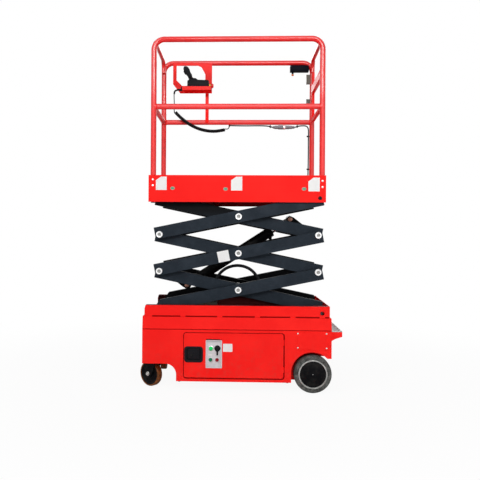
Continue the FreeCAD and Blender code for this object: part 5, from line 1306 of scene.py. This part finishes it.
# The controls on the guard rail
def control_box():
    """Black housing with a rubber boot, a leaning grip and a row of switches."""
    box = Shape()
    profile = [(-401, 2152), (-238, 2152), (-238, 2196), (-244, 2203), (-322, 2206), (-338, 2218),
               (-352, 2219), (-362, 2210), (-386, 2210), (-401, 2198)]
    box.slab(profile, 166, 246, soften=3.0)
    box.block((-402, 164.5, 2157), (-237, 247.5, 2161), 0, 1.0)
    lean = math.atan2(-56.0, 112.0)
    tilt = Matrix.Translation((-368, 206, 2208)) @ Matrix.Rotation(lean, 4, "Y")
    grip = Shape()
    folds = [(25, -4), (26, 0)]
    for i in range(4):
        narrower, higher = 3.2 * i, 7.0 * i
        folds += [(25 - narrower, 2 + higher), (21 - narrower, 5.4 + higher), (22.6 - narrower, 8 + higher)]
    grip.turned((0, 0, 0), (0, 0, 1), folds + [(0, 30)], 36, paint=1)
    handle = [(-17, 26), (15, 26), (19, 40), (17, 62), (21, 84), (18, 104), (9, 117), (-9, 119), (-21, 108),
              (-22, 92), (-15, 76), (-19, 60), (-15, 44)]
    grip.slab(handle, -16, 16, soften=5.0)
    grip.slab([(-26, 66), (-17, 60), (-15, 80), (-22, 96), (-28, 90)], -7, 7, paint=0, soften=2.0)
    grip.turned((-4, 0, 117), (0, 0, 1), [(0, 5), (7, 5), (8, 3), (8.5, -4)], 24, paint=1)
    grip.moved(tilt)
    for x, paint in ((-305.0, 2), (-286.0, 3), (-267.0, 4)):
        for y in (186.0, 226.0):
            box.turned((x, y, 2203.5), (0, 0, 1), [(0, 4.5), (5, 4.5), (6.2, 3), (7, -2)], 24, paint=paint)
    box.block((-310, 200, 2203), (-256, 212, 2206.5), 4, 1.0)
    box.block((-446, 199, 2152.4), (-388, 213, 2160), 0, 2.0)
    box.block((-453, 197.5, 2129), (-440, 214.5, 2160.5), 0, 2.5)
    boot = [(8.5, -2), (9, 0), (8.6, 6), (7.6, 14), (6.8, 22), (0, 22)]
    box.turned((-452, 206, GLAND.z), (-1, 0, 0), boot, 28, paint=1)
    relief = [(0, 0, 0), (-9.9, 1.1, -1.6), (-17.9, 2.2, -4.5), (-23.8, 3.6, -8.6), (-27.5, 5, -14),
              (-30, 8.2, -30)]
    box.sweep([GLAND + Vector(step) for step in relief], 6.4, 14, paint=1)
    box.piece("control_box_housing", "platform", [BLACK, CORD, GREEN, YELLOW, BLACK_PAINT], "black_plastic",
              ["control_box"])
    grip.piece("control_grip", "platform", [BLACK, CORD], "black_plastic")


def stop_button():
    """Red mushroom head on a yellow collar."""
    knob = Shape()
    at = (-238, 206, RAIL_TOP - 193)
    knob.turned(at, (1, 0, 0), [(0, 0), (13, 0), (13.4, 3), (12.4, 9), (9, 10), (9, 16)], 40, paint=1)
    mushroom = [(8, 14.6), (14, 14.6), (17.4, 16.5), (18, 20), (17.4, 27), (14, 32), (8, 34.4), (0, 35)]
    knob.turned(at, (1, 0, 0), mushroom, 40)
    knob.piece("stop_knob", "platform", [STOP_RED, YELLOW], "stop_red", ["stop_button"])


def beacon_box():
    """Small dark case on the far rail, with a short stalk and an orange lens."""
    low = RAIL_TOP - 71
    case = Shape()
    case.block((380, 257.5, low + 0.5), (522, 304.5, low + 48), 0, 4.0)
    case.block((379, 256.5, low + 6), (523, 305.5, low + 9), 0, 1.0)
    case.turned((400, 281, low + 1), (0, 0, -1), [(0, 0), (11, 0), (11, 4), (7.5, 6), (7.5, 19), (0, 19)], 28)
    case.turned((400, 281, low - 18), (0, 0, -1), [(8.2, 0), (9, 1), (9, 7), (7, 9.6), (0, 10)], 28, paint=1)
    case.piece("beacon_case", "platform", [NAVY, ORANGE], "black_plastic", ["beacon_box"])


control_box()
stop_button()
beacon_box()


# Cables that are tied along the rail, and the hose on the arms
CABLE_Z = RAIL_MID - RAIL_R - 5.5
TIE = [(4.4, 0), (6.4, 0), (7.2, 1.5), (7.2, 8.5), (6.4, 10), (4.4, 10)]


def held_cable():
    """The cable that is tied under the far mid rail and down the rear post, with its ties."""
    y, under, drop = RAIL_Y, CABLE_Z, CABLE_Z - 14
    runs = (
        ("held_cable_left", [
            (-85, y, under), (20, y, under - 3), (140, y, under - 1), (205, y, under - 3),
            (232, y, under - 8), (250, y, drop)]),
        ("held_cable_right", [
            (418, y, drop), (437, y, under - 7), (462, y, under - 2), (512, y, under - 2),
            (525, y, under - 30), (523, y, under - 90), (524, y, under - 200), (522, y, under - 380),
            (518, y, FLOOR_Z + 0.3)]))
    for name, route in runs:
        cable = nurbs(name, route, 4.5)
        cable.data.materials.append(CORD)
        settle(cable, "platform", ["held_cable"])
    ties = Shape()
    for x, z in ((-84.0, under), (231.0, under - 7), (437.0, under - 6)):
        ties.turned((x - 5, y, z), (1, 0, 0), TIE, 24)
        ties.block((x - 5, y - 5, z - 11), (x + 5, y + 4, z - 4), 0, 1.0)
        ties.block((x - 2.5, y - 2.5, z), (x + 2.5, y + 2.5, RAIL_MID - RAIL_R + 1), 0, 0.8)
    for x, z in ((522.5, 1797.0), (523.0, 1545.0)):
        ties.turned((x, y, z - 5), (0, 0, 1), TIE, 24)
        ties.block((x - 12, y - 5, z - 5), (x - 4, y + 5, z + 5), 0, 1.0)
        ties.block((x, y - 2.5, z - 2.5), (RAIL_REAR - RAIL_R + 1, y + 2.5, z + 2.5), 0, 0.8)
    ties.piece("cable_ties", "platform", [CORD], "black_plastic")


SLEEVE_PROFILE = [
    (0, 0), (7, 0), (9, 4), (9, 12), (13, 15), (13, 40), (15.6, 42), (16, 46), (16, 76), (14, 80), (0, 80)]
TAIL_PROFILE = [
    (0, 0), (13.6, 0), (14, 2), (14, 30), (12.4, 32), (12.4, 50), (9.5, 54), (9.5, 66), (7, 73), (0, 73)]


def connector():
    """The coupling in the cable: two ribbed sleeves and a bright nut."""
    y, z = RAIL_Y, CABLE_Z - 14
    shell = Shape()
    shell.turned((250, y, z), (1, 0, 0), SLEEVE_PROFILE, 40)
    nut = [(0, 0), (17, 0), (18, 1.5), (18, 13.5), (17, 15), (0, 15)]
    shell.turned((330, y, z), (1, 0, 0), nut, 24, paint=1)
    shell.turned((345, y, z), (1, 0, 0), TAIL_PROFILE, 40)
    for i in range(4):
        shell.ring((254 + 3.0 * i + 2, y, z), (1, 0, 0), 8.6, 1.0, 28, 6)
        shell.ring((402 + 3.4 * i, y, z), (1, 0, 0), 9.2, 1.0, 28, 6)
    shell.piece("cable_coupling", "platform", [COUPLING, BRIGHT], "connector_alloy", ["cable_connector"])


def hose_arch():
    """The hydraulic hose that arches over the lowest crossing, with its end fittings."""
    centre_z = PIVOT_Z + RISE / 2
    route = [(MIDDLE_X + along, -184.0, centre_z + up) for along, up in (
        (-156, 50), (-141, 92), (-92, 140), (-30, 162), (32, 160), (92, 134), (136, 80), (153, 20),
        (152, -4))]
    hose = nurbs("hose_arch_line", route, 11.0)
    hose.data.materials.append(CORD)
    settle(hose, "inner_1", ["hose_arch"])
    ends = Shape()
    for at, near in ((route[0], route[1]), (route[-1], route[-2])):
        out = (Vector(near) - Vector(at)).normalized()
        ends.turned(at, out, [(0, -3), (11.5, -3), (12.2, 0), (12.2, 18), (10.4, 20)], 28)
        ends.hexagon(Vector(at) - 9 * out, out, 19, 8)
    ends.piece("hose_ends", "inner_1", [ZINC], "zinc_steel")


held_cable()
connector()
hose_arch()

bpy.context.view_layer.update()
